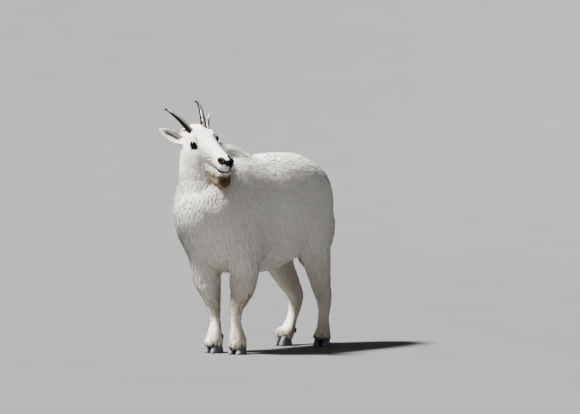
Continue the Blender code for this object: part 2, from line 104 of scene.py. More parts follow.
def pale_floor():
    """A round floor whose rim rises to a slope, far outside the object and the camera. The slope is flatter
    than the key is high, so that it throws no shadow and stays lit on every side."""
    made = bmesh.new()
    rows = [(r, 0.0) for r in (0.01, 2.0, 6.0, FLOOR_FLAT)]
    for a in np.linspace(0.02, SWEEP_SLOPE, 14):
        rows.append((FLOOR_FLAT + SWEEP * math.sin(a), SWEEP - SWEEP * math.cos(a)))
    radius, height = rows[-1]
    rows.append((radius + SLOPE_REACH, height + SLOPE_REACH * math.tan(SWEEP_SLOPE)))
    steps = 96
    rings = []
    for radius, height in rows:
        ring = []
        for k in range(steps):
            a = 2 * math.pi * k / steps
            ring.append(made.verts.new((radius * math.cos(a), radius * math.sin(a), height)))
        rings.append(ring)
    made.faces.new(list(reversed(rings[0])))
    for a, b in zip(rings, rings[1:]):
        for k in range(steps):
            made.faces.new((a[k], b[k], b[(k + 1) % steps], a[(k + 1) % steps]))
    mesh = bpy.data.meshes.new("floor")
    bmesh.ops.recalc_face_normals(made, faces=made.faces)
    bmesh.ops.reverse_faces(made, faces=made.faces)
    made.to_mesh(mesh)
    made.free()
    mesh.shade_smooth()
    floor = bpy.data.objects.new("floor", mesh)
    bpy.context.scene.collection.objects.link(floor)
    return floor


def aimed(data, at, aim, power, colour):
    data.energy = power
    data.color = colour
    made = bpy.data.objects.new(data.name, data)
    made.location = at
    made.rotation_mode = "QUATERNION"
    made.rotation_quaternion = (Vector(aim) - Vector(at)).to_track_quat("-Z", "Y")
    bpy.context.scene.collection.objects.link(made)
    return made


def lamp(name, at, aim, size, power, colour):
    """A round soft lamp."""
    data = bpy.data.lights.new(name, "AREA")
    data.shape = "DISK"
    data.size = size
    return aimed(data, at, aim, power, colour)


def noon_light(name, at, width, power, colour):
    """Even light from one side over the whole floor. Its width, as an angle, softens the shadows' edges."""
    data = bpy.data.lights.new(name, "SUN")
    data.angle = width
    return aimed(data, at, (0.0, 0.0, 0.0), power, colour)


floor = pale_floor()
noon_light("key", (-1.75, -2.75, 4.95), 0.15, 9.0, (1.0, 0.985, 0.955))
lamp("fill", (5.0, -2.0, 2.2), (0.0, 0.0, 0.5), 4.0, 3.0, (0.97, 0.98, 1.0))
world = bpy.data.worlds.new("studio")
world.use_nodes = True
world.node_tree.nodes["Background"].inputs["Color"].default_value = (0.94, 0.96, 1.0, 1.0)
world.node_tree.nodes["Background"].inputs["Strength"].default_value = 0.18
bpy.context.scene.world = world
view = bpy.context.scene.view_settings
view.view_transform = "AgX"
view.look = "AgX - High Contrast"
print("stage", floor.name, "lamps", len(bpy.data.lights))

# %% [markdown]
# ## Small helpers for shader maths
# A material is a graph of nodes, and long graphs are hard to read. Python lets us write the sums as
# sums: the class below wraps one output socket and adds a Math node for each operator.

# %% Shader maths


class Signal:
    """One value in a material's graph. Sums, products and powers of signals add Math nodes."""

    def __init__(self, graph, socket):
        self.graph = graph
        self.socket = socket

    def _join(self, operation, first, second):
        return self.graph.node("ShaderNodeMath", {"operation": operation}, {0: first, 1: second})

    def __add__(self, other):
        return self._join("ADD", self, other)

    def __sub__(self, other):
        return self._join("SUBTRACT", self, other)

    def __mul__(self, other):
        return self._join("MULTIPLY", self, other)

    def __rsub__(self, other):
        return self._join("SUBTRACT", other, self)

    def __pow__(self, other):
        return self._join("POWER", self, other)

    __radd__ = __add__
    __rmul__ = __mul__


class Graph:
    """A node tree, filled node by node. Settings are set first, then socket values or links."""

    def __init__(self, tree):
        self.tree = tree

    def node(self, kind, settings=None, values=None, output=0):
        made = self.tree.nodes.new(kind)
        for key, value in (settings or {}).items():
            setattr(made, key, value)
        for key, value in (values or {}).items():
            socket = made.inputs[key]
            if isinstance(value, Signal):
                self.tree.links.new(value.socket, socket)
            else:
                socket.default_value = value
        return Signal(self, made.outputs[output])


class Finish(Graph):
    """A material round its Principled shader. Values that are the same all over are given by name."""

    def __init__(self, name, **constants):
        self.material = bpy.data.materials.new(name)
        self.material.use_nodes = True
        super().__init__(self.material.node_tree)
        self.shader = self.tree.nodes["Principled BSDF"]
        for socket, value in constants.items():
            self.shader.inputs[socket.replace("_", " ")].default_value = value

    def attribute(self, name):
        return self.node("ShaderNodeAttribute", {"attribute_name": name}, output="Fac")

    def place(self, scale=(1.0, 1.0, 1.0)):
        place = self.node("ShaderNodeTexCoord", output="Object")
        return self.node("ShaderNodeMapping", None, {"Vector": place, "Scale": scale})

    def noise(self, scale, detail=3.0, roughness=0.55, vector=None):
        values = {"Scale": scale, "Detail": detail, "Roughness": roughness}
        values["Vector"] = self.place() if vector is None else vector
        return self.node("ShaderNodeTexNoise", None, values)

    def step(self, low, high, value):
        """0 below low, 1 above high, with a smooth rise between."""
        values = {"Value": value, "From Min": low, "From Max": high}
        return self.node("ShaderNodeMapRange", {"interpolation_type": "SMOOTHSTEP"}, values)

    def mix(self, share, first, second, how="MIX"):
        """A colour between first and second. A plain colour is given as three numbers."""
        first, second = (v if isinstance(v, Signal) else (*v, 1.0) for v in (first, second))
        values = {0: share, 6: first, 7: second}
        return self.node("ShaderNodeMix", {"data_type": "RGBA", "blend_type": how}, values, output=2)

    def feed(self, socket, value):
        self.tree.links.new(value.socket, self.shader.inputs[socket])

    def bump(self, height, distance, strength=1.0):
        values = {"Height": height, "Distance": distance, "Strength": strength}
        self.feed("Normal", self.node("ShaderNodeBump", None, values))


print("shader helpers ready")

# %% [markdown]
# ## One skin for all the flesh
# The frame holds head, neck, trunk, tail, ears and legs as separate solids with thin gaps between them. A
# real hide has no gaps. We could sew the pieces by hand, or use Boolean unions, which are slow on curved
# meshes. A voxel remesh is simpler: it fills a fine grid of small cubes wherever there is flesh and wraps
# one surface round them, so every gap narrower than a cube disappears.
#
# The head gets lofts of its own under the remesh, because the solid's flat faces would show on a short
# haired face. A loft is a row of rounded cross-sections joined by skin, like the ribs of a boat.

# %% Where the head sits and how it is turned
HEAD_PLACE = (0.014, -0.433, 0.891)
HEAD_TURN_LEFT = 71.8
HEAD_NOSE_DOWN = 25.8
HEAD_LEAN = 16.2
SIDES = {"left": 1.0, "right": -1.0}


def head_matrix():
    """From the head's own frame to the goat's: forward is the nose, then the head's left, then its crown."""
    yaw, pitch, lean = (math.radians(a) for a in (HEAD_TURN_LEFT, HEAD_NOSE_DOWN, HEAD_LEAN))
    nose = Vector((math.sin(yaw) * math.cos(pitch), -math.cos(yaw) * math.cos(pitch), -math.sin(pitch)))
    level_left = Vector((math.cos(yaw), math.sin(yaw), 0.0))
    left = level_left * math.cos(lean) + nose.cross(level_left) * math.sin(lean)
    turn = Matrix((nose, left, nose.cross(left))).transposed()
    return Matrix.Translation(Vector(HEAD_PLACE)) @ turn.to_4x4()


HEAD = head_matrix()
MIRROR = Matrix.Diagonal((1.0, -1.0, 1.0, 1.0))
head_turn = np.array(HEAD.to_3x3())
head_place = np.array(HEAD.translation)


def in_head(places):
    """Points of the goat in the head's own frame."""
    return (places - head_place) @ head_turn


print("head looks along", [round(v, 3) for v in head_turn[:, 0]])

# %% Curves and lofts


def spline(rows, count):
    """A smooth curve through every row of numbers, read at even steps."""
    rows = np.array(rows, float)
    t = np.linspace(0, len(rows) - 1, count)
    i = np.clip(t.astype(int), 0, len(rows) - 2)
    f = (t - i)[:, None]
    before, here, after, beyond = (rows[np.clip(i + k, 0, len(rows) - 1)] for k in (-1, 0, 1, 2))
    bend = 2 * before - 5 * here + 4 * after - beyond
    twist = 3 * here - before - 3 * after + beyond
    return 0.5 * (2 * here + (after - before) * f + bend * f**2 + twist * f**3)


def unit(v):
    return v / np.maximum(np.linalg.norm(v, axis=-1, keepdims=True), 1e-9)


def loft(stations, front_hint, rings, sides, power=2.0, dome=0.5, ripple=None):
    """A closed tube through stations of x, y, z, half side, half to the front, half to the back, with round
    ends. ripple(share along, angles) gives a factor on its size."""
    rows = spline(stations, rings)
    centre = rows[:, :3]
    size = np.maximum(rows[:, 3:], 0.0006)
    along = unit(np.gradient(centre, axis=0))
    hint = np.array(front_hint, float)
    front = unit(hint - (along @ hint)[:, None] * along)
    side = np.cross(along, front)
    cap = [(math.cos(a), math.sin(a)) for a in (math.radians(x) for x in (75, 55, 35, 15))]
    loops = [(0, shrink, -reach) for shrink, reach in cap]
    loops += [(i, 1.0, 0.0) for i in range(rings)]
    loops += [(rings - 1, shrink, reach) for shrink, reach in reversed(cap)]
    turn = np.linspace(0, 2 * math.pi, sides, endpoint=False)
    c, s = (np.sign(v) * np.abs(v) ** (2 / power) for v in (np.cos(turn), np.sin(turn)))
    made = bmesh.new()
    grid = []
    for i, shrink, reach in loops:
        factor = 1.0 if ripple is None else ripple(i / (rings - 1), turn)
        half_side, half_front, half_back = size[i] * shrink
        across = np.where(s > 0, half_front, half_back) * s
        middle = centre[i] + along[i] * dome * size[i].min() * reach
        points = np.outer(c * half_side * factor, side[i]) + np.outer(across * factor, front[i])
        grid.append([made.verts.new(p) for p in middle + points])
    for a, b in zip(grid, grid[1:]):
        for k in range(sides):
            made.faces.new((a[k], a[(k + 1) % sides], b[(k + 1) % sides], b[k]))
    for row, i, sign in ((grid[0], 0, -1), (grid[-1], rings - 1, 1)):
        pole = made.verts.new(centre[i] + along[i] * sign * dome * size[i].min())
        for k in range(sides):
            made.faces.new((row[k], row[(k + 1) % sides], pole))
    bmesh.ops.recalc_face_normals(made, faces=made.faces)
    return made


def ball(centre, radii, segments=28):
    made = bmesh.new()
    bmesh.ops.create_uvsphere(made, u_segments=segments, v_segments=segments // 2, radius=1.0)
    made.transform(Matrix.Translation(Vector(centre)) @ Matrix.Diagonal((*radii, 1.0)))
    return made


def placed(made, matrix):
    made.transform(matrix)
    if matrix.determinant() < 0:
        bmesh.ops.reverse_faces(made, faces=made.faces)
    return made


def to_object(name, forms):
    """One object from several forms, with its place in its mesh."""
    whole = bmesh.new()
    for form in forms:
        part = bpy.data.meshes.new("part")
        form.to_mesh(part)
        form.free()
        whole.from_mesh(part)
        bpy.data.meshes.remove(part)
    mesh = bpy.data.meshes.new(name)
    whole.to_mesh(mesh)
    whole.free()
    made = bpy.data.objects.new(name, mesh)
    bpy.context.scene.collection.objects.link(made)
    return made


def settle(obj):
    """Makes the object's modifiers part of its mesh."""
    graph = bpy.context.evaluated_depsgraph_get()
    mesh = bpy.data.meshes.new_from_object(obj.evaluated_get(graph))
    obj.modifiers.clear()
    obj.data = mesh
    return obj


def triangles_in(mesh):
    mesh.calc_loop_triangles()
    return len(mesh.loop_triangles)


print("loft helpers ready")

# %% Head and ears as lofts
# Skull and upper muzzle: x, middle height, half width, rise, drop
SKULL = [
    (-0.118, -0.018, 0.046, 0.040, 0.062),
    (-0.085, -0.012, 0.059, 0.054, 0.078),
    (-0.050, -0.006, 0.061, 0.061, 0.080),
    (-0.005, -0.004, 0.054, 0.052, 0.072),
    (0.035, -0.010, 0.0465, 0.048, 0.060),
    (0.075, -0.014, 0.040, 0.045, 0.050),
    (0.115, -0.018, 0.034, 0.042, 0.042),
    (0.152, -0.020, 0.033, 0.037, 0.036),
    (0.182, -0.020, 0.033, 0.031, 0.030),
    (0.201, -0.021, 0.027, 0.021, 0.021),
]
# Lower jaw, then the short beard under it: x, middle height, half width, half height
JAW = [
    (-0.060, -0.074, 0.048, 0.042),
    (-0.015, -0.080, 0.045, 0.038),
    (0.040, -0.076, 0.042, 0.035),
    (0.090, -0.071, 0.036, 0.031),
    (0.135, -0.069, 0.032, 0.028),
    (0.172, -0.064, 0.027, 0.022),
    (0.190, -0.058, 0.018, 0.013),
]
BEARD = [
    (0.015, -0.098, 0.026, 0.032),
    (0.060, -0.106, 0.031, 0.044),
    (0.100, -0.106, 0.031, 0.045),
    (0.140, -0.098, 0.028, 0.039),
    (0.175, -0.083, 0.021, 0.028),
    (0.193, -0.072, 0.013, 0.015),
]
# Round masses of the head: middle and radii, on both sides
HEAD_MASSES = [
    ((-0.012, 0.045, 0.012), (0.032, 0.0155, 0.027)),
    ((-0.014, 0.042, 0.029), (0.028, 0.017, 0.015)),
    ((0.174, 0.018, -0.024), (0.026, 0.018, 0.021)),
    ((0.184, 0.017, -0.006), (0.017, 0.015, 0.015)),
    ((-0.030, 0.036, -0.050), (0.044, 0.021, 0.044)),
]
EAR_ROOT = (-0.066, 0.052, -0.014)
EAR_TIPS = {1.0: (-0.1700, 0.1285, 0.0330), -1.0: (-0.1620, 0.1220, 0.0240)}
EAR_FACES = {1.0: (0.500, 0.840, 0.100), -1.0: (0.647, 0.555, 0.522)}
EAR_HALF_WIDTHS = (0.0120, 0.0180, 0.0225, 0.0235, 0.0205, 0.0140, 0.0050)
EAR_CUP = (1.90, 1.75, 1.45, 1.15, 0.95, 0.80, 0.70)
EAR_WALL = 0.0050


def head_forms():
    skull = [(x, 0.0, z, half, rise, sink) for x, z, half, rise, sink in SKULL]
    jaw = [(x, 0.0, z, half, tall, tall) for x, z, half, tall in JAW]
    beard = [(x, 0.0, z, half, tall, tall) for x, z, half, tall in BEARD]
    made = [placed(loft(rows, (0, 0, 1), 60, 64, power=power), HEAD)
            for rows, power in ((skull, 2.2), (jaw, 2.2), (beard, 2.0))]
    for mirror in (Matrix.Identity(4), MIRROR):
        made += [placed(ball(centre, radii), HEAD @ mirror) for centre, radii in HEAD_MASSES]
    return made


def ear_form(side):
    """A leaf rolled at its root and open towards the tip: a crescent section swept along the ear."""
    root, tip = Vector(EAR_ROOT), Vector(EAR_TIPS[side])
    along = (tip - root).normalized()
    faces = Vector(EAR_FACES[side])
    faces = (faces - faces.dot(along) * along).normalized()
    across = along.cross(faces)
    steps, arc = 40, 24
    made = bmesh.new()
    grid = []
    for i, (half, cup) in enumerate(spline(np.stack([EAR_HALF_WIDTHS, EAR_CUP], axis=1), steps)):
        share = i / (steps - 1)
        radius = half / math.sin(min(cup, math.pi / 2))
        depth = faces * (-0.5 * radius * (1 - math.cos(cup)) * math.sin(math.pi * share))
        middle = root + along * (tip - root).length * share + depth
        wall = EAR_WALL * (1 - 0.35 * share) / 2
        ring = []
        for surface in (1, -1):
            for k in range(arc):
                way = (2 * k / (arc - 1) - 1) * surface
                r = radius + surface * wall * (1 - 0.55 * abs(way) ** 4)
                a = cup * way
                ring.append(middle + across * (r * math.sin(a)) + faces * (radius - r * math.cos(a)))
        grid.append([made.verts.new(p) for p in ring])
    count = len(grid[0])
    for a, b in zip(grid, grid[1:]):
        for k in range(count):
            made.faces.new((a[k], a[(k + 1) % count], b[(k + 1) % count], b[k]))
    for row in (grid[0], grid[-1]):
        for k in range(arc - 1):
            made.faces.new((row[k], row[k + 1], row[count - 2 - k], row[count - 1 - k]))
    bmesh.ops.recalc_face_normals(made, faces=made.faces)
    return placed(made, HEAD if side > 0 else HEAD @ MIRROR)


# %% Wrap the flesh in one skin
FLESH_NODES = ["head", "neck", "trunk", "tail"]
FLESH_NODES += [f"{leg}_{side_name}" for leg in ("foreleg", "hindleg") for side_name in SIDES]
SKIN_VOXEL = 0.0022
SKIN_KEPT = 0.145
FACE_MIDDLE = (0.03, 0.0, -0.03)


def copy_of(node):
    """A copy of a solid's mesh with its loose triangles merged."""
    made = bmesh.new()
    made.from_mesh(frame["nodes"][node].data)
    bmesh.ops.remove_doubles(made, verts=made.verts, dist=1e-6)
    return made


def places_of(mesh):
    flat = np.empty(len(mesh.vertices) * 3)
    mesh.vertices.foreach_get("co", flat)
    return flat.reshape(-1, 3)


def normals_of(mesh):
    flat = np.empty(len(mesh.vertices) * 3)
    mesh.vertex_normals.foreach_get("vector", flat)
    return flat.reshape(-1, 3)


def put_places(mesh, places):
    mesh.vertices.foreach_set("co", np.ascontiguousarray(places).ravel())
    mesh.update()


def smooth_share(low, high, value):
    t = np.clip((value - low) / (high - low), 0.0, 1.0)
    return t * t * (3 - 2 * t)


def put_group(obj, name, weights):
    """Writes weights as a vertex group, in steps of a fortieth."""
    group = obj.vertex_groups.new(name=name)
    steps = np.round(weights * 40).astype(int)
    for step in np.unique(steps):
        group.add(np.flatnonzero(steps == step).tolist(), step / 40, "REPLACE")


def wrapped_skin():
    ears = [ear_form(side) for side in SIDES.values()]
    made = to_object("skin", [copy_of(node) for node in FLESH_NODES] + head_forms() + ears)
    wrap = made.modifiers.new("one skin", "REMESH")
    wrap.mode = "VOXEL"
    wrap.voxel_size = SKIN_VOXEL
    settle(made)
    head = in_head(places_of(made.data))
    from_face = np.linalg.norm(head - FACE_MIDDLE, axis=1)
    on_ear = smooth_share(0.085, 0.100, np.abs(head[:, 1])) * (head[:, 0] < -0.05)
    body = smooth_share(0.13, 0.20, from_face) * (1 - 0.8 * on_ear)
    put_group(made, "body", 0.02 + 0.98 * body)
    even = made.modifiers.new("even", "SMOOTH")
    even.factor = 0.5
    even.iterations = 6
    softer = made.modifiers.new("softer body", "SMOOTH")
    softer.factor = 0.6
    softer.iterations = 30
    softer.vertex_group = "body"
    fewer = made.modifiers.new("fewer", "DECIMATE")
    fewer.ratio = SKIN_KEPT
    fewer.use_collapse_triangulate = True
    fewer.vertex_group = "body"
    fewer.vertex_group_factor = 0.5
    return settle(made)


# How many times the skin is averaged to find its hollows, and how far one may be filled
HOLLOW_ROUNDS = 70
HOLLOW_FILL = 0.014


def filled_hollows(mesh):
    """Fills pits and sharp folds of the body as fat does, and leaves all that stands out as it is."""
    places, normals = places_of(mesh), normals_of(mesh)
    ends = np.empty(len(mesh.edges) * 2, int)
    mesh.edges.foreach_get("vertices", ends)
    a, b = ends.reshape(-1, 2).T
    count = len(places)
    neighbours = np.bincount(a, minlength=count) + np.bincount(b, minlength=count)
    soft = places.copy()
    for _ in range(HOLLOW_ROUNDS):
        for k in range(3):
            total = np.bincount(a, soft[b, k], count) + np.bincount(b, soft[a, k], count)
            soft[:, k] = total / neighbours
    rise = np.clip(((soft - places) * normals).sum(axis=1), 0.0, HOLLOW_FILL)
    away = smooth_share(0.18, 0.24, np.linalg.norm(in_head(places) - FACE_MIDDLE, axis=1))
    put_places(mesh, places + normals * (rise * away * smooth_share(0.28, 0.36, places[:, 2]))[:, None])
    return rise.max()


skin = wrapped_skin()
print("skin", triangles_in(skin.data), "triangles")
print("deepest hollow filled", round(filled_hollows(skin.data) * 1000, 1), "mm")

# %% [markdown]
# ## A groomer's chart of the coat
# Wool differs from place to place: an arm's length of chart rows says, at each landmark, which way the
# hair lies, how long it is, how much it stands up and how deep the coat is there. Between landmarks the
# nearest rows are mixed, the way a groomer blends one length into the next. Painting the same maps by
# hand would work too, but a chart can be read and changed.

# %% The chart
MIDDLE_X = -0.016
# Outwards from the middle, y, z; the lie of the hair; length and depth in mm, and how steeply it stands
BODY_CHART = [
    (0.03, -0.24, 0.88, 0.10, 0.90, -0.35, 24, 0.19, 5.3),
    (0.03, 0.06, 0.85, 0.10, 1.00, -0.10, 22, 0.18, 5.0),
    (0.03, 0.28, 0.86, 0.10, 0.95, -0.30, 22, 0.18, 5.0),
    (0.05, 0.45, 0.74, 0.15, 0.25, -0.95, 22, 0.17, 5.0),
    (0.06, 0.44, 0.58, 0.05, 0.05, -1.00, 24, 0.17, 5.3),
    (0.16, -0.26, 0.70, 0.05, 0.55, -0.83, 24, 0.18, 5.6),
    (0.16, 0.02, 0.76, 0.05, 0.80, -0.60, 22, 0.17, 5.0),
    (0.17, 0.02, 0.56, 0.00, 0.70, -0.70, 24, 0.17, 5.3),
    (0.15, 0.28, 0.70, 0.05, 0.55, -0.83, 22, 0.17, 5.0),
    (0.15, 0.30, 0.55, 0.00, 0.30, -0.95, 24, 0.16, 5.3),
    (0.03, 0.02, 0.37, 0.00, 0.95, -0.15, 20, 0.16, 4.5),
    (0.04, 0.26, 0.46, 0.00, 0.50, -0.85, 18, 0.14, 4.0),
    (0.04, -0.42, 0.52, 0.00, 0.20, -1.00, 26, 0.18, 6.2),
    (0.03, -0.30, 0.37, 0.00, 0.75, -0.60, 25, 0.18, 5.6),
    (0.12, -0.36, 0.70, 0.05, 0.30, -0.95, 25, 0.18, 5.9),
    (0.03, -0.46, 0.72, 0.00, 0.05, -1.00, 24, 0.17, 5.8),
    (0.08, -0.39, 0.82, 0.05, 0.30, -0.95, 18, 0.17, 4.5),
    (0.00, -0.32, 0.90, 0.00, 0.75, -0.65, 20, 0.19, 4.5),
    (0.15, -0.27, 0.52, 0.00, 0.20, -1.00, 27, 0.17, 5.9),
    (0.00, 0.49, 0.70, 0.00, 0.10, -1.00, 20, 0.14, 2.8),
]
# Height on the leg, how far behind its middle; the hair's backward lean; length, stand and depth
LEG_CHART = {
    "foreleg": [
        (0.43, 0.00, 0.15, 34, 0.22, 7.6),
        (0.33, -0.03, 0.10, 30, 0.20, 6.5),
        (0.31, 0.05, 0.25, 46, 0.23, 7.9),
        (0.25, 0.03, 0.20, 34, 0.25, 5.8),
        (0.25, -0.03, 0.05, 16, 0.19, 3.2),
        (0.205, 0.00, 0.05, 8, 0.16, 1.9),
        (0.14, 0.00, 0.05, 7, 0.14, 1.6),
        (0.078, 0.00, 0.10, 9, 0.18, 1.9),
        (0.046, 0.00, 0.00, 24, 0.17, 2.2),
    ],
    "hindleg": [
        (0.44, 0.00, 0.25, 28, 0.20, 6.8),
        (0.35, 0.00, 0.30, 24, 0.19, 5.4),
        (0.27, 0.00, 0.25, 13, 0.18, 3.2),
        (0.21, 0.00, 0.15, 8, 0.16, 2.0),
        (0.13, 0.00, 0.05, 7, 0.14, 1.6),
        (0.072, 0.00, 0.10, 9, 0.18, 1.9),
        (0.046, 0.00, 0.00, 24, 0.17, 2.2),
    ],
}
# The head's own frame: x to the nose, y outwards, z to the crown; the rest as for the body
HEAD_CHART = [
    (0.150, 0.000, 0.016, -1.00, 0.00, 0.05, 4.5, 0.11, 0.6),
    (0.160, 0.032, -0.015, -0.95, 0.00, -0.30, 4.5, 0.12, 0.6),
    (0.198, 0.010, -0.030, -0.40, 0.50, -0.70, 3.5, 0.20, 0.5),
    (0.192, 0.000, -0.062, -0.30, 0.00, -1.00, 7.0, 0.26, 1.2),
    (0.180, 0.012, -0.085, 0.10, 0.00, -1.00, 18.0, 0.34, 3.5),
    (0.140, 0.030, -0.075, -0.10, 0.00, -1.00, 18.0, 0.34, 3.5),
    (0.090, 0.040, -0.080, -0.15, 0.00, -1.00, 18.0, 0.32, 3.6),
    (0.050, 0.047, -0.085, -0.35, 0.00, -0.95, 16.0, 0.30, 3.4),
    (0.040, 0.050, -0.045, -0.85, 0.00, -0.50, 9.0, 0.20, 1.7),
    (0.090, 0.038, -0.020, -0.90, 0.00, -0.40, 6.0, 0.12, 0.8),
    (0.060, 0.000, 0.036, -1.00, 0.00, 0.10, 6.0, 0.12, 0.8),
    (-0.010, 0.020, 0.052, -1.00, 0.10, 0.20, 9.0, 0.24, 1.8),
    (0.000, 0.052, 0.034, -0.90, 0.20, 0.30, 6.0, 0.18, 1.0),
    (0.005, 0.060, 0.008, -0.90, 0.00, -0.30, 4.0, 0.15, 0.6),
    (-0.030, 0.060, 0.010, -0.95, 0.10, -0.10, 8.0, 0.22, 1.6),
    (-0.075, 0.000, 0.062, -0.75, 0.00, 0.60, 18.0, 0.50, 4.5),
    (-0.055, 0.030, 0.056, -0.80, 0.30, 0.40, 11.0, 0.40, 2.6),
    (-0.060, 0.062, -0.055, -0.70, 0.00, -0.70, 15.0, 0.28, 3.8),
    (-0.100, 0.030, 0.030, -0.80, 0.00, -0.40, 20.0, 0.40, 6.0),
    (-0.074, 0.060, -0.010, -0.70, 0.60, 0.20, 8.0, 0.22, 1.0),
    (-0.118, 0.090, 0.010, -0.72, 0.55, 0.30, 4.5, 0.12, 0.4),
    (-0.165, 0.125, 0.030, -0.72, 0.55, 0.30, 3.5, 0.10, 0.2),
]
# The beard hangs straight down, whatever the head does
BEARD_CHART = [
    (0.100, 0.0, -0.140, 30, 0.26, 6.0),
    (0.165, 0.0, -0.105, 20, 0.28, 4.0),
    (0.050, 0.0, -0.125, 22, 0.30, 5.0),
]
CHART_SHARPNESS = 2.2


def leg_middle(node, height):
    """The middle of a leg at one height, read from its solid."""
    mesh = frame["nodes"][node].data
    places = places_of(mesh)
    near = places[np.abs(places[:, 2] - height) < 0.025]
    return (near.min(axis=0) + near.max(axis=0)) / 2


def chart_rows():
    """Every row of the chart in the goat's frame, both sides: place, lie, length, stand, depth."""
    rows = []
    for x, y, z, *lie_and_coat in BODY_CHART:
        lx, ly, lz, length, stand, depth = lie_and_coat
        for side in SIDES.values():
            rows.append((MIDDLE_X + side * x, y, z, side * lx, ly, lz, length, stand, depth))
    for leg, stations in LEG_CHART.items():
        for side_name in SIDES:
            for height, behind, back, length, stand, depth in stations:
                x, y, _ = leg_middle(f"{leg}_{side_name}", height)
                rows.append((x, y + behind, height, 0.0, back, -1.0, length, stand, depth))
    for x, y, z, lx, ly, lz, length, stand, depth in HEAD_CHART:
        for side in SIDES.values():
            place = head_place + head_turn @ (x, side * y, z)
            lie = head_turn @ (lx, side * ly, lz)
            rows.append((*place, *lie, length, stand, depth))
    for x, y, z, length, stand, depth in BEARD_CHART:
        rows.append((*(head_place + head_turn @ (x, y, z)), 0.0, 0.0, -1.0, length, stand, depth))
    rows = np.array(rows)
    rows[:, 3:6] = unit(rows[:, 3:6])
    return rows


def read_chart(places, rows):
    """The chart's lie, length, stand and depth at these places, mixed from the nearest rows."""
    out = np.empty((len(places), 6))
    for start in range(0, len(places), 20000):
        block = places[start:start + 20000]
        gap = ((block[:, None, :] - rows[None, :, :3]) ** 2).sum(axis=2) + 4e-6
        share = gap ** -CHART_SHARPNESS
        share /= share.sum(axis=1, keepdims=True)
        out[start:start + 20000] = share @ rows[:, 3:9]
    return out


chart = chart_rows()
coat_here = read_chart(places_of(skin.data), chart)
print("chart rows", len(chart), "longest coat here", round(coat_here[:, 3].max(), 1), "mm")

# %% [markdown]
# ## From the coat's outline to the skin
# The solids reach out to the tips of the coat, so the skin has to lie inside them by the coat's depth.
# Each point moves back along its own normal by the depth that the chart gives there.

# %% Sink the skin by the coat's depth
put_places(skin.data, places_of(skin.data) - normals_of(skin.data) * coat_here[:, 5:6] * 0.001)
print("skin sunk by", round(coat_here[:, 5].min(), 2), "to", round(coat_here[:, 5].max(), 1), "mm")

# %% [markdown]
# ## Sculpting the face
# A sculptor works on a face with two moves: a press or a pull with a round tool, and a line cut with a
# thin one. Both are small functions here: they move the skin along its normals by an amount that fades
# with distance. Before the thin lines are cut, the skin is divided more finely near them, because a fold
# can't be narrower than the faces that carry it.

# %% Finer skin where the face has detail
EYE_RADIUS = 0.0155
EYE_PLACE = (0.005, 0.0515, 0.008)
MOUTH_LINE = [
    (0.136, 0.0300, -0.0490),
    (0.150, 0.0290, -0.0500),
    (0.166, 0.0270, -0.0495),
    (0.182, 0.0220, -0.0465),
    (0.197, 0.0140, -0.0410),
    (0.205, 0.0000, -0.0350),
]
NOSTRIL_LINE = [
    (0.169, 0.0270, 0.0030),
    (0.180, 0.0240, 0.0045),
    (0.190, 0.0160, 0.0020),
    (0.196, 0.0090, -0.0050),
]
CHEEK_CREASE = [
    (0.112, 0.0345, -0.0110),
    (0.088, 0.0375, -0.0230),
    (0.070, 0.0430, -0.0400),
    (0.068, 0.0510, -0.0540),
    (0.074, 0.0560, -0.0690),
    (0.084, 0.0540, -0.0840),
]
TEAR_LINE = [(0.020, 0.0600, -0.0010), (0.028, 0.0570, -0.0060), (0.040, 0.0500, -0.0080)]
FACE_SIDE_LINE = [(0.036, 0.0470, 0.0050), (0.060, 0.0420, 0.0070), (0.085, 0.0380, 0.0060)]


def fold_out(head):
    """Head points with their left and right sides laid over each other."""
    both = head.copy()
    both[:, 1] = np.abs(both[:, 1])
    return both


def from_line(points, line):
    """Distance of every point from a smooth curve through line's points."""
    curve = spline(line, 60)
    start, end = curve[:-1], curve[1:]
    best = np.full(len(points), 1.0)
    for a, b in zip(start, end):
        way = b - a
        share = np.clip(((points - a) @ way) / max(way @ way, 1e-12), 0.0, 1.0)
        best = np.minimum(best, np.linalg.norm(points - a - share[:, None] * way, axis=1))
    return best


def refine(obj, near_enough):
    """Splits every edge whose middle near_enough picks, once."""
    made = bmesh.new()
    made.from_mesh(obj.data)
    made.edges.ensure_lookup_table()
    middles = np.array([((e.verts[0].co + e.verts[1].co) / 2)[:] for e in made.edges])
    picked = np.flatnonzero(near_enough(fold_out(in_head(middles))))
    bmesh.ops.subdivide_edges(made, edges=[made.edges[i] for i in picked], cuts=1, use_grid_fill=True)
    bmesh.ops.triangulate(made, faces=[f for f in made.faces if len(f.verts) > 3])
    made.to_mesh(obj.data)
    made.free()


def near_features(reach):
    def test(head):
        near = np.linalg.norm(head - EYE_PLACE, axis=1) < EYE_RADIUS + reach * 1.2
        for line in (MOUTH_LINE, NOSTRIL_LINE):
            near |= from_line(head, line) < reach
        return near
    return test


refine(skin, near_features(0.010))
refine(skin, near_features(0.005))
print("refined skin", triangles_in(skin.data), "triangles")

# %% [markdown]
# ## Lids, folds, nostrils and mouth
# The eyeballs are balls of their own. Round each one the skin is drawn onto a thin shell just outside the
# ball, which makes the lids, and inside the almond-shaped opening it drops behind the ball. The brow,
# cheekbone, jaw muscle and lips are soft touches, and the mouth, nostrils and creases are cut as lines.

# %% Sculpt the face
EYE_LOOKS = unit(np.array((0.42, 0.84, 0.28)))
EYE_FORWARD = np.array((1.0, 0.0, -0.22))
EYE_FORWARD = unit(EYE_FORWARD - (EYE_FORWARD @ EYE_LOOKS) * EYE_LOOKS)
EYE_UP = np.cross(EYE_FORWARD, EYE_LOOKS)
# Half of the opening, as angles seen from the ball's middle: along, above and below
EYE_OPENING = (1.22, 0.88, 0.86)
LID_THICKNESS = 0.0013
SOCKET_DEPTH = 0.0026
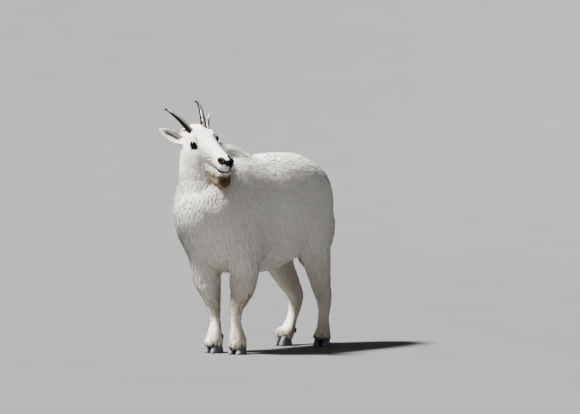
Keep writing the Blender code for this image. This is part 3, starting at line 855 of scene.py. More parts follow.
# Middle and radii in metres, height of the touch in mm; both sides of the face
SOFT_TOUCHES = [
    ((0.026, 0.055, -0.006), (0.012, 0.008, 0.006), -1.6),
    ((0.000, 0.050, 0.036), (0.022, 0.011, 0.007), 0.5),
    ((0.020, 0.050, -0.026), (0.030, 0.012, 0.010), 1.4),
    ((0.062, 0.044, -0.042), (0.028, 0.010, 0.014), -1.6),
    ((0.030, 0.050, -0.062), (0.022, 0.012, 0.022), 1.6),
    ((0.085, 0.000, 0.030), (0.050, 0.012, 0.010), 1.0),
    ((0.105, 0.034, -0.014), (0.030, 0.010, 0.014), -1.4),
    ((0.174, 0.027, 0.011), (0.015, 0.007, 0.006), 2.0),
    ((0.150, 0.032, -0.032), (0.022, 0.010, 0.010), 1.2),
    ((0.190, 0.000, -0.066), (0.012, 0.016, 0.012), 1.2),
    ((0.030, 0.000, 0.046), (0.018, 0.020, 0.010), -1.0),
    ((-0.035, 0.052, 0.034), (0.018, 0.010, 0.012), -1.5),
]
PHILTRUM = [(0.204, 0.0, -0.006), (0.206, 0.0, -0.020), (0.205, 0.0, -0.033)]
# Line, its half width, its depth and the height of its lips, in mm
CUT_LINES = [
    (MOUTH_LINE, 2.0, 4.6, 0.9),
    (NOSTRIL_LINE, 3.6, 7.0, 1.0),
    (PHILTRUM, 1.4, 1.2, 0.2),
    (CHEEK_CREASE, 2.6, 2.0, 0.7),
    (FACE_SIDE_LINE, 3.2, 1.2, 0.4),
    (TEAR_LINE, 1.8, 1.2, 0.2),
]


def eye_share(head):
    """How far out a point lies from the middle of the eye's opening: 1 is the rim of the lids."""
    from_ball = head - EYE_PLACE
    reach = np.linalg.norm(from_ball, axis=1)
    out = from_ball @ EYE_LOOKS
    along = np.arctan2(from_ball @ EYE_FORWARD, np.maximum(out, 1e-6))
    height = np.arcsin(np.clip(from_ball @ EYE_UP / reach, -1, 1))
    half = np.where(height > 0, EYE_OPENING[1], EYE_OPENING[2])
    share = np.hypot(along / EYE_OPENING[0], height / half)
    return np.where((out > 0) & (reach < 2.2 * EYE_RADIUS), share, 9.0), reach


def sculpted_face(mesh):
    places, normals = places_of(mesh), normals_of(mesh)
    head = fold_out(in_head(places))
    move = np.zeros(len(places))
    for centre, radii, height in SOFT_TOUCHES:
        move += height * np.exp(-(((head - centre) / radii) ** 2).sum(axis=1))
    for line, width, depth, lip in CUT_LINES:
        d = from_line(head, line) * 1000
        move += lip * np.exp(-(((d - 2.1 * width) / width) ** 2)) - depth * np.exp(-((d / width) ** 2))
    places = places + normals * move[:, None] * 0.001
    head = in_head(places)
    side = np.where(head[:, 1:2] < 0, -1.0, 1.0) * (0, 1, 0) + (1, 0, 1)
    head = head * side
    share, reach = eye_share(head)
    lid = EYE_RADIUS + LID_THICKNESS
    drawn = reach + (lid - reach) * (1 - smooth_share(1.25, 1.9, share))
    drawn = drawn + (EYE_RADIUS - SOCKET_DEPTH - drawn) * (1 - smooth_share(0.97, 1.07, share))
    head = EYE_PLACE + (head - EYE_PLACE) * (drawn / reach)[:, None]
    put_places(mesh, head_place + (head * side) @ head_turn.T)


uncut_places = places_of(skin.data)
sculpted_face(skin.data)
print("face sculpted, eye opening", [round(math.degrees(v)) for v in EYE_OPENING], "degrees")

# %% [markdown]
# ## The fold behind the shoulder
# She looks back to her left, and the hide gathers into one shallow fold that runs back and down from the
# left shoulder. It is cut with the same line tool as the creases of the face, only wider.

# %% Cut the fold
SHOULDER_FOLD = [
    (0.135, -0.285, 0.785),
    (0.156, -0.212, 0.718),
    (0.165, -0.152, 0.673),
    (0.170, -0.105, 0.628),
]
FOLD_HALF_WIDTH = 0.011
FOLD_DEPTH = 0.010
FOLD_LIP = 0.0035


def folded(mesh):
    places = places_of(mesh)
    d = from_line(places, SHOULDER_FOLD) / FOLD_HALF_WIDTH
    move = FOLD_LIP * np.exp(-((d - 2.1) ** 2)) - FOLD_DEPTH * np.exp(-(d ** 2))
    put_places(mesh, places + normals_of(mesh) * move[:, None])
    return move.min()


print("fold", round(folded(skin.data) * 1000, 1), "mm")

# %% [markdown]
# ## Unwrap the skin
# A flat map of the skin lets its colours be baked into a picture. Smart projection cuts
# the skin wherever it turns too far and lays the patches side by side. The locks of wool will each take
# one tiny patch of this same map, at the place of their root.

# %% Unwrap
PATCH_MARGIN = 0.0015


def unwrapped(obj):
    obj.data.uv_layers.new(name="OFBake")
    bpy.context.view_layer.objects.active = obj
    obj.select_set(True)
    bpy.ops.object.mode_set(mode="EDIT")
    bpy.ops.mesh.select_all(action="SELECT")
    bpy.ops.uv.smart_project(angle_limit=math.radians(66), island_margin=PATCH_MARGIN)
    bpy.ops.object.mode_set(mode="OBJECT")
    obj.select_set(False)


for face in skin.data.polygons:
    face.use_smooth = True
unwrapped(skin)
print("unwrapped", len(skin.data.loops), "corners")

# %% [markdown]
# ## Markings
# The coat is white, but not one white. It is cream low down, tan on the jaw, brown in the beard with painted
# shade under the chin, and dusty on the knees and feet; the nose, lips and lid rims are bare black skin, with
# one white spot painted on the nose as a highlight. Painted shade darkens the root of the ears, the brow, the
# hollow below the eye, the tear line, the cheek crease and the ear's channel, and a tan tint of painted shade
# lies inside the ears.
# Each marking is a function of place, written to the skin as an attribute. The locks inherit it from the
# point that they grow from, so skin and coat always agree.

# %% Write the markings
EAR_WIDE = 0.020


def blot(head, centre, radii, soft=0.3):
    """1 inside an egg, fading to 0 outside it."""
    away = np.sqrt((((head - centre) / radii) ** 2).sum(axis=1))
    return 1 - smooth_share(1 - soft, 1 + soft, away)


def inner_ear(head, normals):
    """How far a point is inside an ear, and how deep in its channel, which gets painted shade."""
    inside, slit = np.zeros(len(head)), np.zeros(len(head))
    for side in SIDES.values():
        mine = head * (1, side, 1)
        turned = (normals @ head_turn) * (1, side, 1)
        root, tip = np.array(EAR_ROOT), np.array(EAR_TIPS[side])
        length = np.linalg.norm(tip - root)
        along = (tip - root) / length
        faces = np.array(EAR_FACES[side])
        faces = unit(faces - (faces @ along) * along)
        share = (mine - root) @ along / length
        across = np.abs((mine - root) @ np.cross(along, faces))
        from_axis = np.linalg.norm(mine - root - np.outer(share, along * length), axis=1)
        inner = smooth_share(0.0, 0.5, turned @ faces) * smooth_share(0.18, 0.28, share) * (share < 1.1)
        depth = (1 - smooth_share(0.10, 0.36, across / EAR_WIDE)) * (1 - smooth_share(0.65, 0.9, share))
        inner *= (mine[:, 1] > 0.06) & (from_axis < 0.030)
        inside, slit = np.maximum(inside, inner), np.maximum(slit, inner * depth)
    return inside, slit


def markings(mesh, places, coat):
    """Marks are placed on the face as it was before its lines were cut, so that they fill the cuts."""
    normals = normals_of(mesh)
    turned = in_head(places)
    head = fold_out(turned)
    height = places[:, 2]
    share, _ = eye_share(head)
    mouth = from_line(head, MOUTH_LINE)
    near_jaw = blot(head, (0.150, 0.0, -0.080), (0.0817, 0.0688, 0.0619), 0.16)
    bare = np.maximum.reduce([
        blot(head, (0.197, 0.000, -0.002), (0.016, 0.021, 0.0105), 0.12),
        blot(head, (0.177, 0.021, 0.002), (0.026, 0.0160, 0.0140), 0.12),
        blot(head, (0.198, 0.000, -0.043), (0.012, 0.0175, 0.0072), 0.15),
        blot(turned, (0.2060, 0.009, -0.0135), (0.0080, 0.0075, 0.0095), 0.15),
        blot(head, (0.205, 0.000, -0.013), (0.011, 0.0070, 0.0120), 0.15),
        1 - smooth_share(0.0020, 0.0032, from_line(head, PHILTRUM)),
        1 - smooth_share(0.0052, 0.0070, mouth),
        1 - smooth_share(1.15, 1.25, share),
    ])
    inside_ear, slit = inner_ear(turned, normals)
    # painted highlight: a white spot beside the left nostril, where the wet nose shines
    painted_highlight_spot = blot(turned, (0.2065, 0.0085, -0.0140), (0.0070, 0.0034, 0.0038))
    bare = bare * (1 - painted_highlight_spot)
    jaw = smooth_share(0.052, 0.068, -head[:, 2]) * smooth_share(0.070, 0.115, head[:, 0])
    tan = np.maximum(jaw, 0.5 * blot(head, (0.115, 0.036, -0.050), (0.045, 0.020, 0.028))) * near_jaw
    # inside the ears the tan tint is painted shade in the hollow
    tan = np.maximum(tan, 0.35 * inside_ear)
    # brown under the chin: the beard's brown stain and painted shade under the jaw together
    brown = blot(head, (0.184, 0.000, -0.090), (0.034, 0.036, 0.030)) * near_jaw
    # painted shade: darker at the root of the ears, in the hollow below the eye, under the brow, along the tear
    # line and the cheek crease, and in the ear's channel
    dusk = np.maximum.reduce([
        0.60 * blot(head, (-0.046, 0.073, -0.022), (0.020, 0.014, 0.012)),
        0.75 * blot(head, (0.026, 0.060, -0.004), (0.010, 0.008, 0.0045)),
        0.10 * blot(head, (-0.005, 0.048, 0.040), (0.020, 0.012, 0.006)),
        0.85 * (1 - smooth_share(0.0008, 0.0030, from_line(head, TEAR_LINE))),
        0.22 * (1 - smooth_share(0.0006, 0.0022, from_line(head, CHEEK_CREASE))),
        0.95 * slit,
    ])
    cream = smooth_share(0.62, 0.16, height)
    knee = np.exp(-(((height - 0.205) / 0.035) ** 2)) * (places[:, 1] < 0)
    dirt = np.maximum(0.8 * knee, 0.7 * (1 - smooth_share(0.045, 0.105, height)))
    fleece = smooth_share(6.0, 18.0, coat[:, 3])
    made = {"bare": bare, "tan": tan, "brown": brown, "dusk": dusk}
    made.update(cream=cream, dirt=dirt, fleece=fleece)
    for name, values in made.items():
        mesh.attributes.new(name, "FLOAT", "POINT").data.foreach_set("value", np.clip(values, 0, 1))
    return made


def write_coat(mesh, coat, bare):
    """Lie, length and stand of the hair, and how many locks grow on a square metre."""
    normals = normals_of(mesh)
    lie = coat[:, :3] - (coat[:, :3] * normals).sum(axis=1, keepdims=True) * normals
    mesh.attributes.new("lie", "FLOAT_VECTOR", "POINT").data.foreach_set("vector", unit(lie).ravel())
    length = coat[:, 3] * 0.001
    growth = np.minimum(LOCKS_PER_SQUARE_METRE * (0.028 / length), MOST_LOCKS)
    growth *= 1 - smooth_share(0.02, 0.2, bare)
    for name, values in (("long", length), ("stand", coat[:, 4]), ("growth", growth)):
        mesh.attributes.new(name, "FLOAT", "POINT").data.foreach_set("value", values)
    return growth


LOCKS_PER_SQUARE_METRE = 65000.0
MOST_LOCKS = 95000.0
coat_here = read_chart(places_of(skin.data), chart)
marks = markings(skin.data, uncut_places, coat_here)
growth = write_coat(skin.data, coat_here, marks["bare"])
print("markings", {name: round(float(values.mean()), 3) for name, values in marks.items()})

# %% [markdown]
# ## Share the coat between pieces
# One mesh with every lock would be too heavy for the exported files, so the coat is several pieces: the
# head, the forelegs, the hind legs, and the body in slices from chest to rump. The slices are cut where
# the counts of locks come out even.

# %% Share out the coat
LOCKS_IN_A_PIECE = 18500


def shared_out(mesh, growth):
    """Gives every face the number of the coat piece that it belongs to. Returns the pieces' names."""
    mesh.calc_loop_triangles()
    count = len(mesh.polygons)
    corners = np.empty(count * 3, int)
    mesh.loops.foreach_get("vertex_index", corners)
    corners = corners.reshape(-1, 3)
    area = np.empty(count)
    mesh.polygons.foreach_get("area", area)
    middle = places_of(mesh)[corners].mean(axis=1)
    locks = area * growth[corners].mean(axis=1)
    from_face = np.linalg.norm(in_head(middle) - FACE_MIDDLE, axis=1)
    ear = (np.abs(in_head(middle)[:, 1]) > 0.075) & (in_head(middle)[:, 0] < -0.05) & (from_face < 0.26)
    names = []
    patch = np.full(count, -1)
    regions = {
        "coat_head": (from_face < 0.165) | ear,
        "coat_forelegs": (middle[:, 2] < 0.36) & (middle[:, 1] < -0.10),
        "coat_hindlegs": (middle[:, 2] < 0.40) & (middle[:, 1] > 0.16),
        "coat_body": np.ones(count, bool),
    }
    for name, inside in regions.items():
        mine = np.flatnonzero(inside & (patch < 0))
        mine = mine[np.argsort(middle[mine, 1], kind="stable")]
        running = np.cumsum(locks[mine])
        slices = max(1, math.ceil(running[-1] / LOCKS_IN_A_PIECE))
        number = np.minimum((running / running[-1] * slices).astype(int), slices - 1)
        patch[mine] = len(names) + number
        names += [f"{name}_{k + 1}" for k in range(slices)] if slices > 1 else [name]
        print(name, "locks", round(running[-1]), "slices", slices)
    mesh.attributes.new("patch", "INT", "FACE").data.foreach_set("value", patch.astype(np.int32))
    return names


coat_names = shared_out(skin.data, growth)
print("coat pieces", len(coat_names))

# %% [markdown]
# ## The finish of skin and wool
# Both materials start from the same coloured markings. On the wool each lock is painted darker at its
# root, a painted shade where light hardly reaches, and every lock differs a little from the next. Long wool
# is painted paler than short hair, painted light that stands in for the light spreading through it. Under
# long wool the skin is darker, partly the underwool's grey and partly painted shade. On the skin the hair is
# too short to model, so a fine bump stands for it, and the black nose gets a pebbled gloss.

# %% Skin and wool
WHITE = (0.72, 0.70, 0.665)
BRIGHT_WHITE = (0.78, 0.765, 0.735)
FLEECE_PAINTED_LIGHT = (0.97, 0.955, 0.92)
CREAM = (0.80, 0.71, 0.57)
TAN = (0.52, 0.40, 0.25)
BEARD_BROWN_AND_SHADE = (0.12, 0.075, 0.045)
DUST = (0.34, 0.25, 0.16)
PAINTED_SHADE_GREY = (0.055, 0.05, 0.05)
BLACK_SKIN = (0.006, 0.006, 0.007)
UNDERWOOL_AND_SHADE = (0.84, 0.81, 0.77)


def coat_colour(finish):
    """The colour of the coat from its markings, with their painted shade and painted light, broken up by cloudy
    noise.
    """
    cloud = finish.noise(9.0, 4.0)
    fleck = finish.noise(55.0, 3.0)
    colour = finish.mix(finish.step(0.35, 0.65, cloud), WHITE, BRIGHT_WHITE)
    # painted light: long wool is made paler than short hair, standing in for the light that spreads through the
    # fleece
    colour = finish.mix(finish.attribute("fleece") * 0.85, colour, FLEECE_PAINTED_LIGHT)
    colour = finish.mix(finish.attribute("cream") * finish.step(0.15, 0.85, cloud) * 0.8, colour, CREAM)
    colour = finish.mix(finish.attribute("tan") * (fleck * 0.5 + 0.52), colour, TAN)
    colour = finish.mix(finish.attribute("dirt") * finish.step(0.38, 0.62, fleck) * 0.75, colour, DUST)
    # the beard's brown stain together with painted shade under the chin
    colour = finish.mix(finish.attribute("brown") * (fleck * 0.5 + 0.60), colour, BEARD_BROWN_AND_SHADE)
    # painted shade in the hollows and creases of the head
    return finish.mix(finish.attribute("dusk"), colour, PAINTED_SHADE_GREY)


def skin_finish():
    finish = Finish("skin", Specular_IOR_Level=0.2)
    bare = finish.attribute("bare")
    # under long wool the skin is darker: the underwool's grey and painted shade together
    underwool_and_shade = finish.mix(finish.attribute("fleece"), (1.0, 1.0, 1.0), UNDERWOOL_AND_SHADE)
    colour = finish.mix(1.0, coat_colour(finish), underwool_and_shade, "MULTIPLY")
    finish.feed("Base Color", finish.mix(bare, colour, BLACK_SKIN))
    finish.feed("Roughness", 0.9 - bare * 0.45)
    pebbles = finish.node("ShaderNodeTexVoronoi", None, {"Vector": finish.place(), "Scale": 900.0})
    hair = finish.noise(700.0, 2.0)
    finish.bump(hair * (1 - bare) + pebbles * bare * 0.8, 0.0006, 0.8)
    return finish.material


def wool_finish():
    finish = Finish("wool", Roughness=0.95, Specular_IOR_Level=0.06, Sheen_Weight=0.10)
    along = finish.attribute("along")
    shade = finish.attribute("lock_shade")
    # painted shade: each lock of long wool is darker towards its root
    painted_root_shade = finish.attribute("fleece") * (1 - finish.step(0.0, 0.55, along))
    colour = finish.mix(painted_root_shade * 0.4, coat_colour(finish), UNDERWOOL_AND_SHADE, "MULTIPLY")
    colour = finish.mix(shade * 0.35, colour, (0.82, 0.76, 0.66), "MULTIPLY")
    finish.feed("Base Color", colour)
    return finish.material


skin.data.materials.clear()
skin.data.materials.append(skin_finish())
wool = wool_finish()
print("skin and wool finished")

# %% [markdown]
# ## Locks of wool
# A lock is a thin wedge of hair: three-sided, widest near its middle, bowed a little and drawn out to a
# point. A few shapes are enough, because no two neighbours get the same one at the same size and angle.

# %% Shapes of a lock
# Share of the length, thickness and how far it bows outwards; then the sideways sway of each shape's tip.
# All but the first are counted in half widths of the lock.
LOCK_LEVELS = [(0.0, 0.75, 0.0), (0.42, 1.0, 1.5), (1.0, 0.0, 0.2)]
LOCK_SWAYS = (-1.5, -0.6, 0.5, 1.4)


def lock_shape(name, sway):
    """One closed lock along +Z, one unit long, bowing towards +Y."""
    made = bmesh.new()
    flat = made.loops.layers.uv.new("lock_patch")
    rings = []
    for z, thick, bow in LOCK_LEVELS[:-1]:
        ring = []
        for k in range(3):
            a = 2 * math.pi * k / 3 - math.pi / 2
            ring.append(made.verts.new((sway * z * z + thick * math.cos(a), bow + thick * math.sin(a), z)))
        rings.append(ring)
    z, _, bow = LOCK_LEVELS[-1]
    tip = made.verts.new((sway, bow, z))
    for k in range(3):
        n = (k + 1) % 3
        made.faces.new((rings[0][k], rings[0][n], rings[1][n], rings[1][k]))
        made.faces.new((rings[1][k], rings[1][n], tip))
    made.faces.new(list(reversed(rings[0])))
    bmesh.ops.triangulate(made, faces=made.faces)
    bmesh.ops.recalc_face_normals(made, faces=made.faces)
    for face in made.faces:
        for corner in face.loops:
            corner[flat].uv = (0.5 + 0.2 * corner.vert.co.x, corner.vert.co.z)
    mesh = bpy.data.meshes.new(name)
    made.to_mesh(mesh)
    made.free()
    mesh.shade_smooth()
    heights = [v.co.z for v in mesh.vertices]
    mesh.attributes.new("along", "FLOAT", "POINT").data.foreach_set("value", heights)
    return bpy.data.objects.new(name, mesh)


lock_shapes = bpy.data.collections.new("lock shapes")
for number, sway in enumerate(LOCK_SWAYS):
    lock_shapes.objects.link(lock_shape(f"lock_{number}", sway))
print("lock shapes", len(lock_shapes.objects), "of", triangles_in(lock_shapes.objects[0].data), "triangles")

# %% [markdown]
# ## Growing the coat
# A hair system would be the usual way, but hairs aren't mesh and don't survive an export. Geometry Nodes
# can do the same with solids: scatter roots over the skin, stand a lock on each, turn it along the lie
# and realize the instances. Wool also clings together, so roots in one small cell lean towards the cell's
# middle and share their height and their shade, and each cell's hair also lies a little its own way:
# that is what makes tufts with dark partings.

# %% The tree that grows locks
GROWTH_INPUTS = {
    "Piece": ("NodeSocketInt", 0),
    "Tuft size": ("NodeSocketFloat", 0.37),
    "Cling": ("NodeSocketFloat", 0.75),
    "Disorder": ("NodeSocketFloat", 0.10),
    "Tousle": ("NodeSocketFloat", 0.50),
    "Thickness": ("NodeSocketFloat", 0.043),
    "Map patch": ("NodeSocketFloat", 0.003),
    "Seed": ("NodeSocketInt", 7),
}


def vector_maths(graph, operation, first, second):
    values = {0: first}
    values["Scale" if operation == "SCALE" else 1] = second
    output = 1 if operation in ("DOT_PRODUCT", "LENGTH") else 0
    return graph.node("ShaderNodeVectorMath", {"operation": operation}, values, output)


def growing_tree():
    tree = bpy.data.node_groups.new("growing coat", "GeometryNodeTree")
    tree.interface.new_socket("Geometry", in_out="INPUT", socket_type="NodeSocketGeometry")
    for name, (kind, value) in GROWTH_INPUTS.items():
        tree.interface.new_socket(name, in_out="INPUT", socket_type=kind).default_value = value
    tree.interface.new_socket("Geometry", in_out="OUTPUT", socket_type="NodeSocketGeometry")
    graph = Graph(tree)
    given = tree.nodes.new("NodeGroupInput")
    entry = {socket.name: Signal(graph, socket) for socket in given.outputs if socket.name}

    def named(name, kind="FLOAT"):
        return graph.node("GeometryNodeInputNamedAttribute", {"data_type": kind}, {"Name": name})

    def keep(geometry, name, value, kind="FLOAT", domain="POINT"):
        settings = {"data_type": kind, "domain": domain}
        return graph.node("GeometryNodeStoreNamedAttribute", settings,
                          {"Geometry": geometry, "Name": name, "Value": value})

    mine = graph.node("FunctionNodeCompare", {"data_type": "INT", "operation": "EQUAL"},
                      {"A": named("patch", "INT"), "B": entry["Piece"]})
    scatter = graph.node("GeometryNodeDistributePointsOnFaces", {"distribute_method": "RANDOM"},
                         {"Mesh": entry["Geometry"], "Selection": mine, "Density": named("growth"),
                          "Seed": entry["Seed"]})
    normal = Signal(graph, scatter.socket.node.outputs["Normal"])
    roots = keep(scatter, "up", normal, "FLOAT_VECTOR")
    up, lie, length = named("up", "FLOAT_VECTOR"), named("lie", "FLOAT_VECTOR"), named("long")
    place = graph.node("GeometryNodeInputPosition")

    cell_size = length * entry["Tuft size"]
    swirl = graph.node("ShaderNodeTexNoise", None, {"Vector": place, "Scale": 26.0, "Detail": 2.0}, output=1)
    bent = vector_maths(graph, "SCALE", vector_maths(graph, "SUBTRACT", swirl, (0.5, 0.5, 0.5)), 0.02)
    moved = vector_maths(graph, "ADD", place, bent)
    cell = graph.node("ShaderNodeTexVoronoi", None,
                      {"Vector": moved, "Scale": graph.node("ShaderNodeMath", {"operation": "DIVIDE"},
                                                            {0: 1.0, 1: cell_size})}, output=2)
    cell_colour = Signal(graph, cell.socket.node.outputs["Color"])
    split = graph.node("ShaderNodeSeparateXYZ", None, {0: cell_colour})
    cell_height, cell_shade = split, Signal(graph, split.socket.node.outputs[1])
    pull = vector_maths(graph, "SUBTRACT", cell, moved)
    pull = vector_maths(graph, "SUBTRACT", pull, vector_maths(graph, "SCALE", up,
                                                              vector_maths(graph, "DOT_PRODUCT", pull, up)))
    shake = graph.node("FunctionNodeRandomValue", {"data_type": "FLOAT_VECTOR"},
                       {0: (-1.0, -1.0, -1.0), 1: (1.0, 1.0, 1.0), "Seed": entry["Seed"]})
    stand = named("stand") * (0.82 + cell_height * 0.36)
    reach = vector_maths(graph, "ADD", lie, vector_maths(graph, "SCALE", up, stand))
    reach = vector_maths(graph, "ADD", reach, vector_maths(graph, "SCALE", shake, entry["Disorder"]))
    tuft_way = vector_maths(graph, "SUBTRACT", cell_colour, (0.5, 0.5, 0.5))
    tuft_way = vector_maths(graph, "CROSS_PRODUCT", tuft_way, up)
    reach = vector_maths(graph, "ADD", reach, vector_maths(graph, "SCALE", tuft_way, entry["Tousle"]))
    reach = vector_maths(graph, "SCALE", reach, length)
    reach = vector_maths(graph, "ADD", reach, vector_maths(graph, "SCALE", pull, entry["Cling"]))
    turn = graph.node("FunctionNodeAxesToRotation", {"primary_axis": "Z", "secondary_axis": "Y"},
                      {"Primary Axis": reach, "Secondary Axis": up})
    long = graph.node("ShaderNodeVectorMath", {"operation": "LENGTH"}, {0: reach}, output=1)
    grow = graph.node("FunctionNodeRandomValue", {"data_type": "FLOAT"},
                      {2: 0.58, 3: 1.12, "Seed": entry["Seed"]}, output=1)
    wide = (length * entry["Thickness"] + 0.00026) * grow
    size = graph.node("ShaderNodeCombineXYZ", None, {0: wide, 1: wide * 0.45, 2: long * grow})
    own = graph.node("FunctionNodeRandomValue", {"data_type": "FLOAT"}, {2: 0.0, 3: 1.0, "Seed": 11}, output=1)
    roots = keep(roots, "lock_shade", cell_shade * 0.65 + own * 0.35)
    shapes = graph.node("GeometryNodeCollectionInfo", None,
                        {"Collection": lock_shapes, "Separate Children": True, "Reset Children": True})
    pick = graph.node("FunctionNodeRandomValue", {"data_type": "INT"},
                      {4: 0, 5: len(LOCK_SWAYS) - 1, "Seed": entry["Seed"]}, output=2)
    locks = graph.node("GeometryNodeInstanceOnPoints", None,
                       {"Points": roots, "Instance": shapes, "Pick Instance": True, "Instance Index": pick,
                        "Rotation": turn, "Scale": size})
    coat = graph.node("GeometryNodeRealizeInstances", None, {"Geometry": locks})
    on_map = named("OFBake", "FLOAT_VECTOR")
    patch = vector_maths(graph, "SUBTRACT", named("lock_patch", "FLOAT_VECTOR"), (0.5, 0.5, 0.0))
    on_map = vector_maths(graph, "ADD", on_map, vector_maths(graph, "SCALE", patch, entry["Map patch"]))
    coat = keep(coat, "OFBake", on_map, "FLOAT2", "CORNER")
    coat = graph.node("GeometryNodeSetMaterial", None, {"Geometry": coat, "Material": wool})
    tree.links.new(coat.socket, tree.nodes.new("NodeGroupOutput").inputs[0])
    return tree


growing = growing_tree()
print("tree of", len(growing.nodes), "nodes")

# %% [markdown]
# Light doesn't stop at the side of a lock of wool, it soaks in and spreads. A lock with hard sides would
# glint like a scale. So the shading normals of each lock are mixed with the normal of the skin under it,
# and the coat takes the light as one soft body while its outline and its partings stay real.

# %% Grow the coat, piece by piece
SOFT_NORMALS = 0.80
SPENT = ("up", "lie", "long", "stand", "growth", "patch", "bare", "lock_patch")


def grown_piece(name, number):
    """Runs the tree for one piece of the coat and keeps the result as a plain mesh."""
    made = bpy.data.objects.new(name, skin.data)
    bpy.context.scene.collection.objects.link(made)
    step = made.modifiers.new("growing coat", "NODES")
    step.node_group = growing
    sockets = {item.name: item.identifier for item in growing.interface.items_tree if item.in_out == "INPUT"}
    step[sockets["Piece"]] = number
    graph = bpy.context.evaluated_depsgraph_get()
    mesh = bpy.data.meshes.new_from_object(made.evaluated_get(graph))
    made.modifiers.clear()
    made.data = mesh
    mesh.name = name
    up = np.empty(len(mesh.vertices) * 3)
    mesh.attributes["up"].data.foreach_get("vector", up)
    soft = unit(normals_of(mesh) * (1 - SOFT_NORMALS) + up.reshape(-1, 3) * SOFT_NORMALS)
    mesh.normals_split_custom_set_from_vertices(soft)
    for attribute in SPENT:
        if attribute in mesh.attributes:
            mesh.attributes.remove(mesh.attributes[attribute])
    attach(made, "root")
    print(name, triangles_in(mesh), "triangles", [a.name for a in mesh.attributes][-4:])
    return made


coat_pieces = [grown_piece(name, number) for number, name in enumerate(coat_names)]
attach(skin, "root")
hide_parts(*FLESH_NODES, "ear_left", "ear_right")
print("coat", sum(len(piece.data.polygons) for piece in coat_pieces), "faces in all")

# %% [markdown]
# ## Eyes
# A goat's eye is dark: a brown iris with a level, slot-like pupil under a clear wet bulge. The ball is one
# closed form whose front is drawn out a little, and two attributes on it say how far each point lies
# along and above the middle of the iris. The material draws ring and slot from them.

# %% Eyeballs
CORNEA_BULGE = 0.0006
CORNEA_ANGLE = 0.62
IRIS_RADIUS = 0.0092
PUPIL_HALF = (0.0060, 0.0024)


def eyeball(side_name):
    mirror = Matrix.Identity(4) if SIDES[side_name] > 0 else MIRROR
    made = ball((0, 0, 0), (EYE_RADIUS,) * 3, segments=56)
    ways = unit(np.array([v.co[:] for v in made.verts]))
    angle = np.arccos(np.clip(ways @ EYE_LOOKS, -1, 1))
    bulge = CORNEA_BULGE * (1 - smooth_share(0.0, CORNEA_ANGLE, angle))
    places = ways * (EYE_RADIUS + bulge)[:, None] + EYE_PLACE
    for v, place in zip(made.verts, places):
        v.co = place
    obj = to_object(f"eyeball_{side_name}", [placed(made, HEAD @ mirror)])
    front = np.where(ways @ EYE_LOOKS > 0, 1.0, 9.0)
    for name, way in (("iris_along", EYE_FORWARD), ("iris_above", EYE_UP)):
        values = ways @ way * EYE_RADIUS * front
        obj.data.attributes.new(name, "FLOAT", "POINT").data.foreach_set("value", values)
    return obj


def eye_finish():
    finish = Finish("wet eye", Roughness=0.12, Specular_IOR_Level=0.25, Coat_Weight=0.4, Coat_Roughness=0.02)
    along, above = finish.attribute("iris_along"), finish.attribute("iris_above")
    ring = (along * along + above * above) ** 0.5
    slot = ((along * (1 / PUPIL_HALF[0])) ** 4.0 + (above * (1 / PUPIL_HALF[1])) ** 4.0)
    fibres = finish.noise(420.0, 2.0)
    colour = finish.mix(fibres, (0.012, 0.006, 0.004), (0.035, 0.017, 0.009))
    colour = finish.mix(finish.step(IRIS_RADIUS * 0.75, IRIS_RADIUS, ring), colour, (0.006, 0.004, 0.004))
    colour = finish.mix(finish.step(0.7, 1.3, slot), (0.002, 0.002, 0.003), colour)
    finish.feed("Base Color", colour)
    return finish.material


eye_look = eye_finish()
for side_name in SIDES:
    obj = eyeball(side_name)
    obj.data.materials.append(eye_look)
    obj.data.shade_smooth()
    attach(obj, "root")
    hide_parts(f"eye_{side_name}")
    print(obj.name, triangles_in(obj.data), "triangles")

# %% [markdown]
# ## Horns
# A nanny's horns are slim black daggers that sweep back. Growth rings ridge the lower half and the sheath
# is scored lengthwise, with a pale streak along its front that is rub wear and painted highlight together.
# The rings are real ridges in the loft; the scoring is too fine for that and is left to the bump.

# %% Horn sheaths
HORN = [
    (-0.040, 0.0290, 0.0260, 0.0132),
    (-0.060, 0.0350, 0.0440, 0.0128),
    (-0.109, 0.0535, 0.0755, 0.0094),
    (-0.156, 0.0690, 0.0920, 0.0062),
    (-0.186, 0.0740, 0.0935, 0.0037),
    (-0.203, 0.0740, 0.0858, 0.0012),
]
HORN_RINGS = 11
RING_HEIGHT = 0.045


def horn_ripple(share, turn):
    """Growth rings that fade towards the tip, and a slightly keeled front."""
    fade = 1 - smooth_share(0.30, 0.62, share)
    ring = abs(math.sin(math.pi * HORN_RINGS * share ** 0.85)) - 0.6
    return 1 - RING_HEIGHT * 0.4 + RING_HEIGHT * fade * ring + 0.02 * np.cos(3 * turn)


def horn(side_name):
    rings, sides = 150, 28
    rows = [(x, y, z, r, r * 1.08, r * 1.08) for x, y, z, r in HORN]
    form = loft(rows, (0.4, 0, 1), rings, sides, dome=0.8, ripple=horn_ripple)
    obj = to_object(f"horn_sheath_{side_name}", [placed(form, HEAD if SIDES[side_name] > 0 else HEAD @ MIRROR)])
    loops = rings + 8
    along = np.repeat(np.linspace(0, 1, loops), sides)
    turn = np.tile(np.linspace(0, 2 * math.pi, sides, endpoint=False), loops)
    columns = {
        "horn_along": (along, 0.0, 1.0),
        "horn_front": (np.sin(turn), 0.0, 0.0),
        "horn_side": (np.cos(turn), 0.0, 0.0),
    }
    for name, (values, root, tip) in columns.items():
        values = np.append(values, (root, tip))
        obj.data.attributes.new(name, "FLOAT", "POINT").data.foreach_set("value", values)
    return obj


